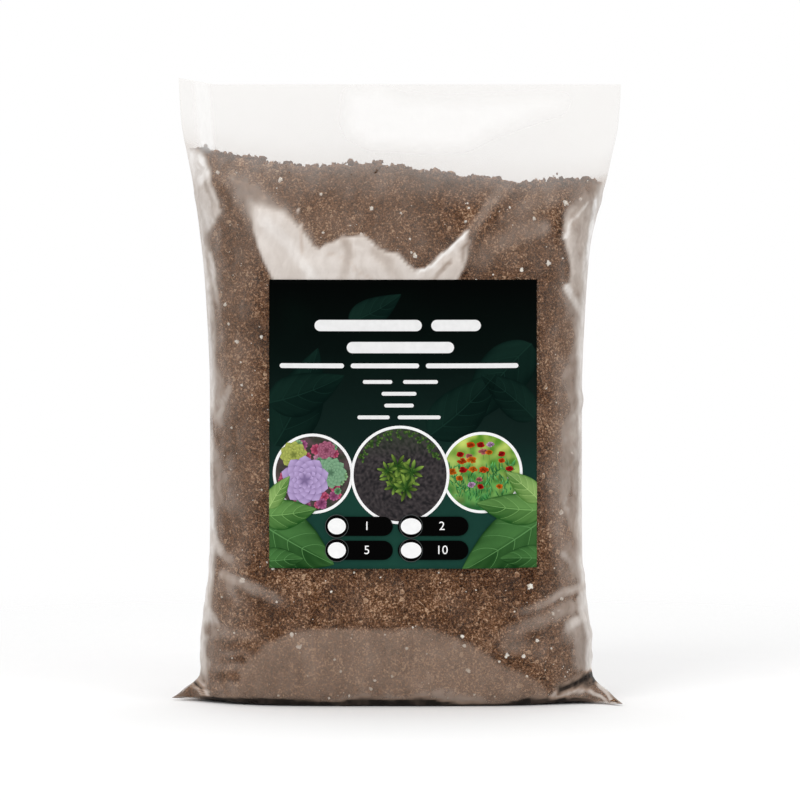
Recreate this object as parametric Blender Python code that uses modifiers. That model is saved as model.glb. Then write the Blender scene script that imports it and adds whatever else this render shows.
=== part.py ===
"""Clear film bag of potting substrate, standing on its folded base.

The bag is a lay-flat film tube with one weld at the bottom and an open mouth. Filling it swells
the tube into a cushion, tucks the weld under the base and leaves a pointed ear at each end of
the weld. Inside stands the substrate, a mix of coir, peat and soil with white perlite grains.
A rectangular label is stuck on the front.

Metres, +Z up. X runs along the weld, the front faces -Y, and the origin is on the floor under
the middle of the weld.
"""

import math

import bmesh
import bpy
from mathutils import Matrix, Vector, noise

MM = 0.001

# Film bag
LAY_FLAT_WIDTH = 300 * MM
MOUTH_HEIGHT = 411 * MM
BODY_WIDTH = 0.83 * LAY_FLAT_WIDTH
BASE_WIDTH = 0.873 * LAY_FLAT_WIDTH
BODY_DEPTH = 0.28 * LAY_FLAT_WIDTH
BASE_DEPTH = 0.21 * LAY_FLAT_WIDTH
EAR_HEIGHT = 17 * MM
MOUTH_GAP = 8 * MM
FILM_THICKNESS = 0.15 * MM
FOLD_RADIUS = 0.6 * MM
MOUTH_CORNER_RISE = 5 * MM
MOUTH_CORNER_SWEEP = 9 * MM
MOUTH_CORNER_FROM = 0.82
MOUTH_SHIFT = 2.4 * MM
EAR_SWEEP = 32 * MM
EAR_SWEEP_FROM = 0.62

# Substrate
FILL_CLEARANCE = 0.35 * MM
CREASE_CLEARANCE = 2 * MM
EAR_TIP_FREE = 5 * MM
FILL_HEIGHT = 350 * MM
HEAP_RISE = 8 * MM
CRUMB_HEIGHT = 2.2 * MM
CRUMB_SPACING = 11 * MM
CLOD_DEPTH = 2.4 * MM
CLOD_SPACING = 25 * MM
CLOD_EDGE = 0.82

# Label
LABEL_WIDTH = 176 * MM
LABEL_HEIGHT = 190 * MM
LABEL_CENTRE_X = 4.7 * MM
LABEL_BOTTOM = 92 * MM
LABEL_THICKNESS = 0.15 * MM
LABEL_CLEARANCE = 0.35 * MM
LABEL_EDGE = 4 * MM

# Grains lying in the face of the substrate
GRAIN_CLEARANCE = 0.35 * MM
GRAIN_FLATNESS = 0.6
GRAIN_ROUGHNESS = 0.22
GRAIN_SEAT = 22 * MM

# Mesh
COLUMNS = 26
ROW_SPACING = 15 * MM
HEAP_ROWS = 5
HEAP_FROM = 0.84
HEAP_LINES = 7

# Sections of the film from the weld up, as shares of the sizes above. Along the front's middle
# the film first runs flat on the floor, then turns up at the base's edge. At the side creases
# it climbs at once, from the ear's tip to the body.
# middle height, crease height, half width, half depth, fullness of the outline
SECTIONS = (
    (0.0, 0.08 * EAR_HEIGHT, 0.5 * LAY_FLAT_WIDTH, FOLD_RADIUS, 2.2),
    (0.0, 0.22 * EAR_HEIGHT, 0.487 * LAY_FLAT_WIDTH, 0.20 * BASE_DEPTH, 2.6),
    (0.0, 0.48 * EAR_HEIGHT, 0.470 * LAY_FLAT_WIDTH, 0.375 * BASE_DEPTH, 3.2),
    (0.0, 0.72 * EAR_HEIGHT, 0.516 * BASE_WIDTH, 0.5 * BASE_DEPTH, 3.6),
    (0.007 * MOUTH_HEIGHT, EAR_HEIGHT, 0.502 * BASE_WIDTH, 0.405 * BODY_DEPTH, 3.8),
    (0.024 * MOUTH_HEIGHT, 1.4 * EAR_HEIGHT, 0.499 * BASE_WIDTH, 0.455 * BODY_DEPTH, 3.8),
    (0.068 * MOUTH_HEIGHT, 0.095 * MOUTH_HEIGHT, 0.5 * BASE_WIDTH, 0.485 * BODY_DEPTH, 3.8),
    (0.134 * MOUTH_HEIGHT, 0.150 * MOUTH_HEIGHT, 0.49 * BASE_WIDTH, 0.495 * BODY_DEPTH, 3.6),
    (0.231 * MOUTH_HEIGHT, 0.236 * MOUTH_HEIGHT, 0.5 * BODY_WIDTH, 0.5 * BODY_DEPTH, 3.4),
    (0.365 * MOUTH_HEIGHT, 0.365 * MOUTH_HEIGHT, 0.498 * BODY_WIDTH, 0.5 * BODY_DEPTH, 3.3),
    (0.500 * MOUTH_HEIGHT, 0.500 * MOUTH_HEIGHT, 0.498 * BODY_WIDTH, 0.49 * BODY_DEPTH, 3.2),
    (0.633 * MOUTH_HEIGHT, 0.633 * MOUTH_HEIGHT, 0.506 * BODY_WIDTH, 0.455 * BODY_DEPTH, 3.0),
    (0.730 * MOUTH_HEIGHT, 0.730 * MOUTH_HEIGHT, 0.518 * BODY_WIDTH, 0.395 * BODY_DEPTH, 2.8),
    (0.815 * MOUTH_HEIGHT, 0.815 * MOUTH_HEIGHT, 0.450 * LAY_FLAT_WIDTH, 0.300 * BODY_DEPTH, 2.6),
    (0.876 * MOUTH_HEIGHT, 0.876 * MOUTH_HEIGHT, 0.468 * LAY_FLAT_WIDTH, 0.200 * BODY_DEPTH, 2.4),
    (0.937 * MOUTH_HEIGHT, 0.937 * MOUTH_HEIGHT, 0.485 * LAY_FLAT_WIDTH, 1.15 * MOUTH_GAP, 2.2),
    (MOUTH_HEIGHT, MOUTH_HEIGHT, 0.491 * LAY_FLAT_WIDTH, 0.5 * MOUTH_GAP, 2.0),
)
BASE_SECTIONS = 3
EAR_SECTIONS = 6
NOSE_POWER = 0.55
CREASE_POWER = 8

# Where the substrate's surface stands above or below FILL_HEIGHT, from the left crease to the
# right one: share of the half width, share of FILL_HEIGHT.
FILL_LINE = (
    (-1.0, 0.069),
    (-0.88, 0.049),
    (-0.70, 0.029),
    (-0.45, 0.017),
    (0.0, 0.020),
    (0.25, 0.0),
    (0.60, -0.014),
    (0.85, -0.009),
    (1.0, 0.006),
)

# Folds where the slack film stands off the substrate, on the front (-1) or the back (1):
# side, then start and end as share of the half width and of the mouth height, width, height.
FOLDS = (
    (-1, 0.99, 0.205, 0.56, 0.140, 15 * MM, 3.0 * MM),
    (-1, 0.99, 0.110, 0.64, 0.075, 14 * MM, 2.6 * MM),
    (-1, 1.00, 0.490, 0.80, 0.465, 14 * MM, 3.2 * MM),
    (-1, -0.99, 0.225, -0.70, 0.165, 15 * MM, 3.0 * MM),
    (-1, -0.99, 0.150, -0.74, 0.120, 13 * MM, 2.2 * MM),
    (-1, -1.00, 0.070, -0.80, 0.030, 12 * MM, 2.4 * MM),
    (-1, -0.88, 0.840, -0.62, 0.700, 18 * MM, 3.2 * MM),
    (-1, 0.92, 0.810, 0.84, 0.680, 20 * MM, 3.6 * MM),
    (-1, 0.62, 0.800, 0.30, 0.700, 16 * MM, 2.4 * MM),
    (-1, -0.62, 0.775, 0.12, 0.762, 34 * MM, 2.4 * MM),
    (-1, 0.34, 0.765, -0.04, 0.762, 34 * MM, 2.2 * MM),
    (1, 0.98, 0.190, 0.60, 0.130, 15 * MM, 3.0 * MM),
    (1, -0.99, 0.180, -0.62, 0.110, 15 * MM, 2.8 * MM),
    (1, -0.97, 0.820, -0.66, 0.700, 18 * MM, 3.0 * MM),
    (1, 0.97, 0.810, 0.70, 0.690, 18 * MM, 3.0 * MM),
    (1, 1.00, 0.072, 0.76, 0.032, 12 * MM, 2.4 * MM),
)

# The larger perlite grains that lie against the film: side, share of the half width, share of
# FILL_HEIGHT, diameter.
GRAINS = (
    (-1, 0.84, 0.949, 5.4 * MM),
    (-1, 0.66, 0.824, 4.2 * MM),
    (-1, 0.80, 0.836, 4.0 * MM),
    (-1, -0.58, 0.993, 3.6 * MM),
    (-1, -0.13, 0.939, 3.8 * MM),
    (-1, 0.10, 0.851, 3.8 * MM),
    (-1, -0.83, 0.235, 5.0 * MM),
    (-1, -0.50, 0.115, 4.4 * MM),
    (-1, 0.72, 0.227, 5.4 * MM),
    (-1, 0.90, 0.364, 3.8 * MM),
    (-1, 0.37, 0.070, 3.6 * MM),
    (-1, 0.57, 0.097, 3.4 * MM),
    (1, -0.40, 0.716, 4.4 * MM),
    (1, 0.35, 0.505, 5.0 * MM),
    (1, 0.62, 0.822, 3.8 * MM),
    (1, 0.05, 0.188, 4.6 * MM),
)


def clear_scene():
    for obj in list(bpy.data.objects):
        bpy.data.objects.remove(obj, do_unlink=True)


def new_collection(name):
    collection = bpy.data.collections.new(name)
    bpy.context.scene.collection.children.link(collection)
    return collection


def material(name, colour, roughness, alpha=1.0):
    made = bpy.data.materials.new(name)
    made.use_nodes = True
    shader = made.node_tree.nodes["Principled BSDF"]
    shader.inputs["Base Color"].default_value = (*colour, 1.0)
    shader.inputs["Roughness"].default_value = roughness
    shader.inputs["Metallic"].default_value = 0.0
    shader.inputs["Alpha"].default_value = alpha
    return made


def add_object(name, mesh, collection, finish):
    obj = bpy.data.objects.new(name, mesh)
    collection.objects.link(obj)
    mesh.materials.append(finish)
    return obj


def steady_slopes(places, values):
    """Slopes at the places of a curve through the values that never swings past them."""
    steps = [b - a for a, b in zip(places, places[1:])]
    rises = [(b - a) / s for a, b, s in zip(values, values[1:], steps)]
    slopes = [rises[0]]
    for before, after in zip(rises, rises[1:]):
        turns = before * after <= 0
        slopes.append(0.0 if turns else 2 * before * after / (before + after))
    slopes.append(rises[-1])
    return slopes


def smooth_value(places, values, slopes, at):
    """The curve's value at a place, held level past its ends."""
    at = min(max(at, places[0]), places[-1])
    i = next((k for k in range(len(places) - 2) if at <= places[k + 1]), len(places) - 2)
    step = places[i + 1] - places[i]
    t = (at - places[i]) / step
    lift = (2 * t**3 - 3 * t**2 + 1) * values[i] + (3 * t**2 - 2 * t**3) * values[i + 1]
    lean = (t**3 - 2 * t**2 + t) * slopes[i] + (t**3 - t**2) * slopes[i + 1]
    return lift + step * lean


def smooth_curve(places, values):
    slopes = steady_slopes(places, values)
    return lambda at: smooth_value(places, values, slopes, at)


def section_curves():
    """Each column of SECTIONS as a smooth curve over the section's number."""
    numbers = list(range(len(SECTIONS)))
    return [smooth_curve(numbers, [row[k] for row in SECTIONS]) for k in range(5)]


SECTION_CURVES = section_curves()
fill_line = smooth_curve([share for share, _ in FILL_LINE], [rise for _, rise in FILL_LINE])


def section_at(number):
    return [curve(number) for curve in SECTION_CURVES]


def row_numbers():
    """Section numbers of the mesh's rows, about ROW_SPACING apart along the front's middle."""
    numbers = [0.0]
    for k in range(len(SECTIONS) - 1):
        here, above = section_at(k), section_at(k + 1)
        run = math.hypot(above[0] - here[0], above[3] - here[3])
        count = max(1, round(run / ROW_SPACING))
        numbers += [k + (i + 1) / count for i in range(count)]
    return numbers


def number_at_height(height):
    """The section number whose middle stands at a height above the base."""
    low, high = float(BASE_SECTIONS), float(len(SECTIONS) - 1)
    for _ in range(40):
        middle = 0.5 * (low + high)
        if section_at(middle)[0] < height:
            low = middle
        else:
            high = middle
    return 0.5 * (low + high)


def column_shares():
    """Shares of the half width from the left crease to the right one, closer at the creases."""
    return [math.sin(math.pi * (i / COLUMNS - 0.5)) for i in range(COLUMNS + 1)]


def outline_depth(share, half_depth, fullness):
    """Half depth of a section at a share of its half width; the crease itself has none."""
    if abs(share) >= 1.0 - 1e-9:
        return 0.0
    swell = (1.0 - abs(share) ** fullness) ** NOSE_POWER
    return FOLD_RADIUS + (half_depth - FOLD_RADIUS) * swell


def outward(share, side, half_width, half_depth, fullness):
    """Direction out of a section's outline, in the XY plane."""
    depth = outline_depth(share, half_depth, fullness) / half_depth
    across = fullness / half_width * abs(share) ** (fullness - 1) * math.copysign(1.0, share)
    away = 1.0 / (NOSE_POWER * half_depth) * depth ** (1.0 / NOSE_POWER - 1.0)
    return Vector((across, side * away, 0.0)).normalized()


def section_point(share, side, section):
    middle, crease, half_width, half_depth, fullness = section
    y = side * outline_depth(share, half_depth, fullness)
    z = middle + (crease - middle) * abs(share) ** CREASE_POWER
    return Vector((half_width * share, y, z))


def fold_height(side, share, height):
    """How far the folds lift the film off the substrate at a place on one side."""
    lift = 0.0
    here = Vector((share * 0.5 * BODY_WIDTH, height))
    for fold_side, from_share, from_height, to_share, to_height, width, most in FOLDS:
        if fold_side != side:
            continue
        start = Vector((from_share * 0.5 * BODY_WIDTH, from_height * MOUTH_HEIGHT))
        run = Vector((to_share * 0.5 * BODY_WIDTH, to_height * MOUTH_HEIGHT)) - start
        along = min(max((here - start).dot(run) / run.length_squared, 0.0), 1.0)
        away = (here - start - along * run).length / (0.5 * width)
        if away < 1.0:
            lift = max(lift, most * (1.0 - along) ** 0.5 * (1.0 - away * away) ** 2)
    return lift


def past(value, start, end):
    """How far a value is on its way from start to end, held between 0 and 1."""
    return min(max((value - start) / (end - start), 0.0), 1.0)


def lean(x, number):
    """How film and substrate lean out of line with the weld, at a section and a place along it.

    The right ear sweeps forward and the mouth stands a little to the right. The left corner of
    the mouth leans back behind an upright fold and stands a little higher.
    """
    reach = 0.5 * LAY_FLAT_WIDTH
    height = section_at(number)[0] / MOUTH_HEIGHT
    ear = past(x, EAR_SWEEP_FROM * reach, reach) ** 1.5 * past(number, EAR_SECTIONS, 0.0)
    corner = past(-x, MOUTH_CORNER_FROM * reach, reach) * past(height, HEAP_FROM, 1.0)
    shift = MOUTH_SHIFT * past(height, 0.75, 0.85)
    return Vector((shift, MOUTH_CORNER_SWEEP * corner - EAR_SWEEP * ear, MOUTH_CORNER_RISE * corner))


def film_point(share, side, number):
    section = section_at(number)
    point = section_point(share, side, section)
    if 0.0 < section[0] < MOUTH_HEIGHT:
        lift = fold_height(side, share, point.z)
        point += lift * outward(share, side, *section[2:])
    return point + lean(point.x, number)


def ring(point_at):
    """Points once round a section: front from left crease to right crease, then the back."""
    shares = column_shares()
    front = [point_at(share, -1) for share in shares]
    back = [point_at(share, 1) for share in reversed(shares[1:-1])]
    return front + back


def skin_rings(mesh, rings):
    """Joins each ring of vertices to the next with quads."""
    for lower, upper in zip(rings, rings[1:]):
        for i in range(len(lower)):
            j = (i + 1) % len(lower)
            mesh.faces.new((lower[i], lower[j], upper[j], upper[i]))


def close_weld(mesh, lower):
    """Closes the lowest ring, front to back, along the weld."""
    count = len(lower)
    for i in range(COLUMNS):
        front, beyond = lower[i], lower[i + 1]
        back, back_beyond = lower[-i % count], lower[-(i + 1) % count]
        corners = []
        for vertex in (back, back_beyond, beyond, front):
            if vertex not in corners:
                corners.append(vertex)
        mesh.faces.new(corners)


def finish_mesh(name, mesh):
    data = bpy.data.meshes.new(name)
    bmesh.ops.recalc_face_normals(mesh, faces=mesh.faces)
    mesh.to_mesh(data)
    mesh.free()
    data.shade_smooth()
    data.set_sharp_from_angle(angle=math.radians(50))
    return data


def build_film_bag(collection, finish):
    """The welded tube: rings of film from the weld to the mouth, given its thickness inwards."""
    mesh = bmesh.new()
    rings = []
    for number in row_numbers():
        points = ring(lambda share, side, n=number: film_point(share, side, n))
        rings.append([mesh.verts.new(point) for point in points])
    close_weld(mesh, rings[0])
    skin_rings(mesh, rings)
    obj = add_object("film_bag", finish_mesh("film_bag", mesh), collection, finish)
    wall = obj.modifiers.new("film", "SOLIDIFY")
    wall.thickness = FILM_THICKNESS
    wall.offset = -1.0
    return obj


def fill_section(number):
    """A section of the substrate: the film's, less the film and the clearance."""
    middle, crease, half_width, half_depth, fullness = section_at(number)
    inset = FILM_THICKNESS + FILL_CLEARANCE
    low = max(0.0, 1.0 - middle / EAR_HEIGHT)
    half_width -= CREASE_CLEARANCE + low * EAR_TIP_FREE
    return [middle + low * inset, crease + low * inset, half_width, half_depth - inset, fullness]


def clod_hollow(share, side, point):
    """How far the loose face sinks between its clods; it stays level where a grain is seated."""
    here = Vector((point.x, side * CLOD_SPACING, point.z)) / CLOD_SPACING
    hollow = CLOD_DEPTH * past(noise.noise(here), -0.4, 0.4)
    hollow *= past(abs(share), 0.97, CLOD_EDGE) * past(point.z, 0.0, EAR_HEIGHT)
    for grain_side, grain_share, height, _ in GRAINS:
        if grain_side == side:
            across = point.x - grain_share * 0.5 * BODY_WIDTH
            away = math.hypot(across, point.z - height * FILL_HEIGHT)
            hollow *= past(away, GRAIN_SEAT, 1.4 * GRAIN_SEAT)
    return hollow


def fill_point(share, side, number):
    section = fill_section(number)
    point = section_point(share, side, section)
    if abs(share) < CLOD_EDGE + 0.15:
        point -= clod_hollow(share, side, point) * outward(share, side, *section[2:])
    return point + lean(point.x, number)


def fill_rim(share):
    """Height at which the substrate's surface meets the film."""
    return FILL_HEIGHT * (1.0 + fill_line(share)) - HEAP_RISE


def crumbs(x, y):
    """Lumps of the loose surface, a few millimetres high."""
    here = Vector((x / CRUMB_SPACING, y / CRUMB_SPACING, 0.37))
    return CRUMB_HEIGHT * noise.noise(here)


def fill_wall_point(share, side, step):
    """A point on the substrate's upper wall; step runs from 0, HEAP_FROM up, to 1, the rim."""
    start = HEAP_FROM * (FILL_HEIGHT - HEAP_RISE)
    rim = fill_rim(share) + crumbs(share * 0.5 * BODY_WIDTH, 0.0)
    return fill_point(share, side, number_at_height(start + step * (rim - start)))


def cap_heap(mesh, rim):
    """Closes the substrate's top with a rough heap, in lines from the front rim to the back."""
    count = len(rim)
    lines = []
    for i in range(1, COLUMNS):
        front, back = rim[i], rim[-i % count]
        line = [front]
        for j in range(1, HEAP_LINES):
            across = j / HEAP_LINES
            place = front.co.lerp(back.co, across)
            hump = 1.0 - (2.0 * across - 1.0) ** 2
            narrow = min(1.0, (back.co - front.co).length / (0.3 * BODY_DEPTH))
            place.z += narrow * (HEAP_RISE * hump + crumbs(place.x, place.y))
            line.append(mesh.verts.new(place))
        lines.append(line + [back])
    for line, beyond in zip(lines, lines[1:]):
        for j in range(HEAP_LINES):
            mesh.faces.new((line[j], beyond[j], beyond[j + 1], line[j + 1]))
    for crease, line in ((rim[0], lines[0]), (rim[COLUMNS], lines[-1])):
        for j in range(HEAP_LINES):
            mesh.faces.new((crease, line[j], line[j + 1]))


def build_substrate(collection, finish):
    mesh = bmesh.new()
    start = HEAP_FROM * (FILL_HEIGHT - HEAP_RISE)
    lowest = number_at_height(0.0) - BASE_SECTIONS + 1.0
    numbers = [n for n in row_numbers() if n >= lowest and section_at(n)[0] < start - 0.5 * ROW_SPACING]
    rings = []
    for number in numbers:
        points = ring(lambda share, side, n=number: fill_point(share, side, n))
        rings.append([mesh.verts.new(point) for point in points])
    for i in range(HEAP_ROWS + 1):
        step = i / HEAP_ROWS
        points = ring(lambda share, side, t=step: fill_wall_point(share, side, t))
        rings.append([mesh.verts.new(point) for point in points])
    close_weld(mesh, rings[0])
    skin_rings(mesh, rings)
    cap_heap(mesh, rings[-1])
    return add_object("substrate_fill", finish_mesh("substrate_fill", mesh), collection, finish)


def label_line(height, shares):
    """One line of the label across the film, from its left edge to its right one."""
    number = number_at_height(height)
    section = section_at(number)
    left = LABEL_CENTRE_X - 0.5 * LABEL_WIDTH
    right = LABEL_CENTRE_X + 0.5 * LABEL_WIDTH
    inner = [min(max(s * section[2], left + LABEL_EDGE), right - LABEL_EDGE) for s in shares]
    line = []
    for x in [left, *inner, right]:
        share = x / section[2]
        out = outward(share, -1, *section[2:])
        line.append(section_point(share, -1, section) + lean(x, number) + LABEL_CLEARANCE * out)
    return line


def build_label(collection, finish):
    """A sheet of print that follows the front of the bag, with the film's own rows and columns."""
    mesh = bmesh.new()
    top = LABEL_BOTTOM + LABEL_HEIGHT
    rows = [section_at(number)[0] for number in row_numbers()]
    inner = [z for z in rows if LABEL_BOTTOM + LABEL_EDGE < z < top - LABEL_EDGE]
    narrowest = min(section_at(number_at_height(z))[2] for z in inner)
    left = (LABEL_CENTRE_X - 0.5 * LABEL_WIDTH + LABEL_EDGE) / narrowest
    right = (LABEL_CENTRE_X + 0.5 * LABEL_WIDTH - LABEL_EDGE) / narrowest
    shares = [share for share in column_shares() if left < share < right]
    lines = [[mesh.verts.new(p) for p in label_line(z, shares)] for z in [LABEL_BOTTOM, *inner, top]]
    for lower, upper in zip(lines, lines[1:]):
        for i in range(len(lower) - 1):
            mesh.faces.new((lower[i], lower[i + 1], upper[i + 1], upper[i]))
    data = bpy.data.meshes.new("label")
    mesh.to_mesh(data)
    mesh.free()
    data.shade_smooth()
    obj = add_object("label", data, collection, finish)
    sheet = obj.modifiers.new("sheet", "SOLIDIFY")
    sheet.thickness = LABEL_THICKNESS
    sheet.offset = 1.0
    return obj


def grain_shape(name, number, radius, swell=0.0):
    """An irregular puffed grain, flattened against the film and swollen by a distance."""
    mesh = bmesh.new()
    bmesh.ops.create_icosphere(mesh, subdivisions=2, radius=radius)
    for vertex in mesh.verts:
        bump = noise.noise(vertex.co / radius * 1.3 + Vector((number * 3.7, 0.0, 0.0)))
        vertex.co *= 1.0 - GRAIN_ROUGHNESS * (0.5 + 0.5 * bump)
        vertex.co.y *= GRAIN_FLATNESS
    mesh.normal_update()
    for vertex in mesh.verts:
        vertex.co += swell * vertex.normal
    data = bpy.data.meshes.new(name)
    mesh.to_mesh(data)
    mesh.free()
    data.shade_smooth()
    return data


def grain_place(side, share, height, radius):
    """A frame whose Y axis runs out through the film, with the grain's face at the fill's face."""
    number = number_at_height(height)
    face = fill_point(share, side, number)
    out = outward(share, side, *fill_section(number)[2:])
    centre = face - out * (GRAIN_FLATNESS * radius)
    up = Vector((0.0, 0.0, 1.0))
    turn = Matrix((out.cross(up), out, up)).transposed()
    return Matrix.Translation(centre) @ turn.to_4x4()


def build_grains(substrate, collection, cutters, finish):
    """Perlite grains, each in a pocket of the substrate that is wider by the clearance."""
    for number, (side, share, height, diameter) in enumerate(GRAINS, 1):
        name = f"perlite_grain_{number:02d}"
        place = grain_place(side, share, height * FILL_HEIGHT, 0.5 * diameter)
        grain = add_object(name, grain_shape(name, number, 0.5 * diameter), collection, finish)
        grain.matrix_world = place
        pocket_shape = grain_shape(name + "_pocket", number, 0.5 * diameter, GRAIN_CLEARANCE)
        cutter = bpy.data.objects.new(name + "_pocket", pocket_shape)
        cutters.objects.link(cutter)
        cutter.matrix_world = place
        cutter.hide_render = True
        cutter.display_type = "WIRE"
        pocket = substrate.modifiers.new(name, "BOOLEAN")
        pocket.operation = "DIFFERENCE"
        pocket.object = cutter


def main():
    clear_scene()
    bag = new_collection("compost_bag")
    cutters = new_collection("cutters")
    clear_film = material("clear_film", (0.88, 0.87, 0.85), 0.12, alpha=0.25)
    soil = material("soil", (0.085, 0.047, 0.028), 0.95)
    perlite = material("perlite", (0.80, 0.77, 0.70), 0.85)
    print_finish = material("printed_label", (0.012, 0.045, 0.032), 0.35)
    build_film_bag(bag, clear_film)
    substrate = build_substrate(bag, soil)
    build_label(bag, print_finish)
    build_grains(substrate, bag, cutters, perlite)


main()
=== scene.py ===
"""Looks of a clear film bag of potting substrate: the film, the filling, the label's print, the
floor and the light. Lengths are in metres, and shapes follow the solid model's own sections.
"""

import math

import bpy
import numpy as np
from mathutils import Matrix, Vector, noise


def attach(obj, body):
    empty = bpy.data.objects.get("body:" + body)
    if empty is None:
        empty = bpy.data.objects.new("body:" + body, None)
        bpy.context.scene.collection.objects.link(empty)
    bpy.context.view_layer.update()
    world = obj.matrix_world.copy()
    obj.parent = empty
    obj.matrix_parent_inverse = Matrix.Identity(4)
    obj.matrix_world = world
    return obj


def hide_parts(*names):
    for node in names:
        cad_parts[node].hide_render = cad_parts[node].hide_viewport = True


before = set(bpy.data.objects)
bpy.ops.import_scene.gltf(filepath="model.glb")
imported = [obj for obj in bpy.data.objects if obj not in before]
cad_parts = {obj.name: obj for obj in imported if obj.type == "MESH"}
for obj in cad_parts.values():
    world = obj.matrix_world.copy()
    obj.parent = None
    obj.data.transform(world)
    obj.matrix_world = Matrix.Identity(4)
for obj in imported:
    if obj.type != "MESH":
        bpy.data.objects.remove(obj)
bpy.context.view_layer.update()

MM = 0.001

# Sizes of the solid model
LAY_FLAT_WIDTH = 300 * MM
MOUTH_HEIGHT = 411 * MM
BODY_WIDTH = 0.83 * LAY_FLAT_WIDTH
BASE_WIDTH = 0.873 * LAY_FLAT_WIDTH
BODY_DEPTH = 0.28 * LAY_FLAT_WIDTH
BASE_DEPTH = 0.21 * LAY_FLAT_WIDTH
EAR_HEIGHT = 17 * MM
MOUTH_GAP = 8 * MM
FOLD_RADIUS = 0.6 * MM
MOUTH_CORNER_RISE = 5 * MM
MOUTH_CORNER_SWEEP = 9 * MM
MOUTH_CORNER_FROM = 0.82
MOUTH_SHIFT = 2.4 * MM
EAR_SWEEP = 32 * MM
EAR_SWEEP_FROM = 0.62
CREASE_CLEARANCE = 2 * MM
EAR_TIP_FREE = 0.0 * MM
FILL_HEIGHT = 350 * MM
HEAP_RISE = 8 * MM
HEAP_FROM = 0.84
CRUMB_HEIGHT = 2.2 * MM
CRUMB_SPACING = 11 * MM
CLOD_DEPTH = 2.4 * MM
CLOD_SPACING = 25 * MM
CLOD_EDGE = 0.82
GRAIN_SEAT = 22 * MM
LABEL_WIDTH = 176 * MM
LABEL_HEIGHT = 190 * MM
LABEL_CENTRE_X = 4.7 * MM
LABEL_BOTTOM = 92 * MM
NOSE_POWER = 0.55
CREASE_POWER = 8
BASE_SECTIONS = 3
EAR_SECTIONS = 6
FILL_INSET = 0.6 * MM
FILM_INSET = 0.07 * MM

# Sections from the weld up: middle height, crease height, half width, half depth, fullness
SECTIONS = np.array(
    (
        (0.0, 0.08 * EAR_HEIGHT, 0.5 * LAY_FLAT_WIDTH, FOLD_RADIUS, 2.2),
        (0.0, 0.22 * EAR_HEIGHT, 0.487 * LAY_FLAT_WIDTH, 0.20 * BASE_DEPTH, 2.6),
        (0.0, 0.48 * EAR_HEIGHT, 0.470 * LAY_FLAT_WIDTH, 0.375 * BASE_DEPTH, 3.2),
        (0.0, 0.72 * EAR_HEIGHT, 0.516 * BASE_WIDTH, 0.5 * BASE_DEPTH, 3.6),
        (0.007 * MOUTH_HEIGHT, EAR_HEIGHT, 0.502 * BASE_WIDTH, 0.405 * BODY_DEPTH, 3.8),
        (0.024 * MOUTH_HEIGHT, 1.4 * EAR_HEIGHT, 0.499 * BASE_WIDTH, 0.455 * BODY_DEPTH, 3.8),
        (0.068 * MOUTH_HEIGHT, 0.095 * MOUTH_HEIGHT, 0.5 * BASE_WIDTH, 0.485 * BODY_DEPTH, 3.8),
        (0.134 * MOUTH_HEIGHT, 0.150 * MOUTH_HEIGHT, 0.49 * BASE_WIDTH, 0.495 * BODY_DEPTH, 3.6),
        (0.231 * MOUTH_HEIGHT, 0.236 * MOUTH_HEIGHT, 0.5 * BODY_WIDTH, 0.5 * BODY_DEPTH, 3.4),
        (0.365 * MOUTH_HEIGHT, 0.365 * MOUTH_HEIGHT, 0.498 * BODY_WIDTH, 0.5 * BODY_DEPTH, 3.3),
        (0.500 * MOUTH_HEIGHT, 0.500 * MOUTH_HEIGHT, 0.498 * BODY_WIDTH, 0.49 * BODY_DEPTH, 3.2),
        (0.633 * MOUTH_HEIGHT, 0.633 * MOUTH_HEIGHT, 0.506 * BODY_WIDTH, 0.455 * BODY_DEPTH, 3.0),
        (0.730 * MOUTH_HEIGHT, 0.730 * MOUTH_HEIGHT, 0.518 * BODY_WIDTH, 0.395 * BODY_DEPTH, 2.8),
        (0.815 * MOUTH_HEIGHT, 0.815 * MOUTH_HEIGHT, 0.450 * LAY_FLAT_WIDTH, 0.300 * BODY_DEPTH, 2.6),
        (0.876 * MOUTH_HEIGHT, 0.876 * MOUTH_HEIGHT, 0.468 * LAY_FLAT_WIDTH, 0.200 * BODY_DEPTH, 2.4),
        (0.937 * MOUTH_HEIGHT, 0.937 * MOUTH_HEIGHT, 0.485 * LAY_FLAT_WIDTH, 1.15 * MOUTH_GAP, 2.2),
        (MOUTH_HEIGHT, MOUTH_HEIGHT, 0.491 * LAY_FLAT_WIDTH, 0.5 * MOUTH_GAP, 2.0),
    )
)

# The substrate's surface against FILL_HEIGHT: share of the half width, share of FILL_HEIGHT
FILL_LINE = np.array(
    (
        (-1.0, 0.069),
        (-0.88, 0.049),
        (-0.70, 0.029),
        (-0.45, 0.017),
        (0.0, 0.020),
        (0.25, 0.0),
        (0.60, -0.014),
        (0.85, -0.009),
        (1.0, 0.006),
    )
)

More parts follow.
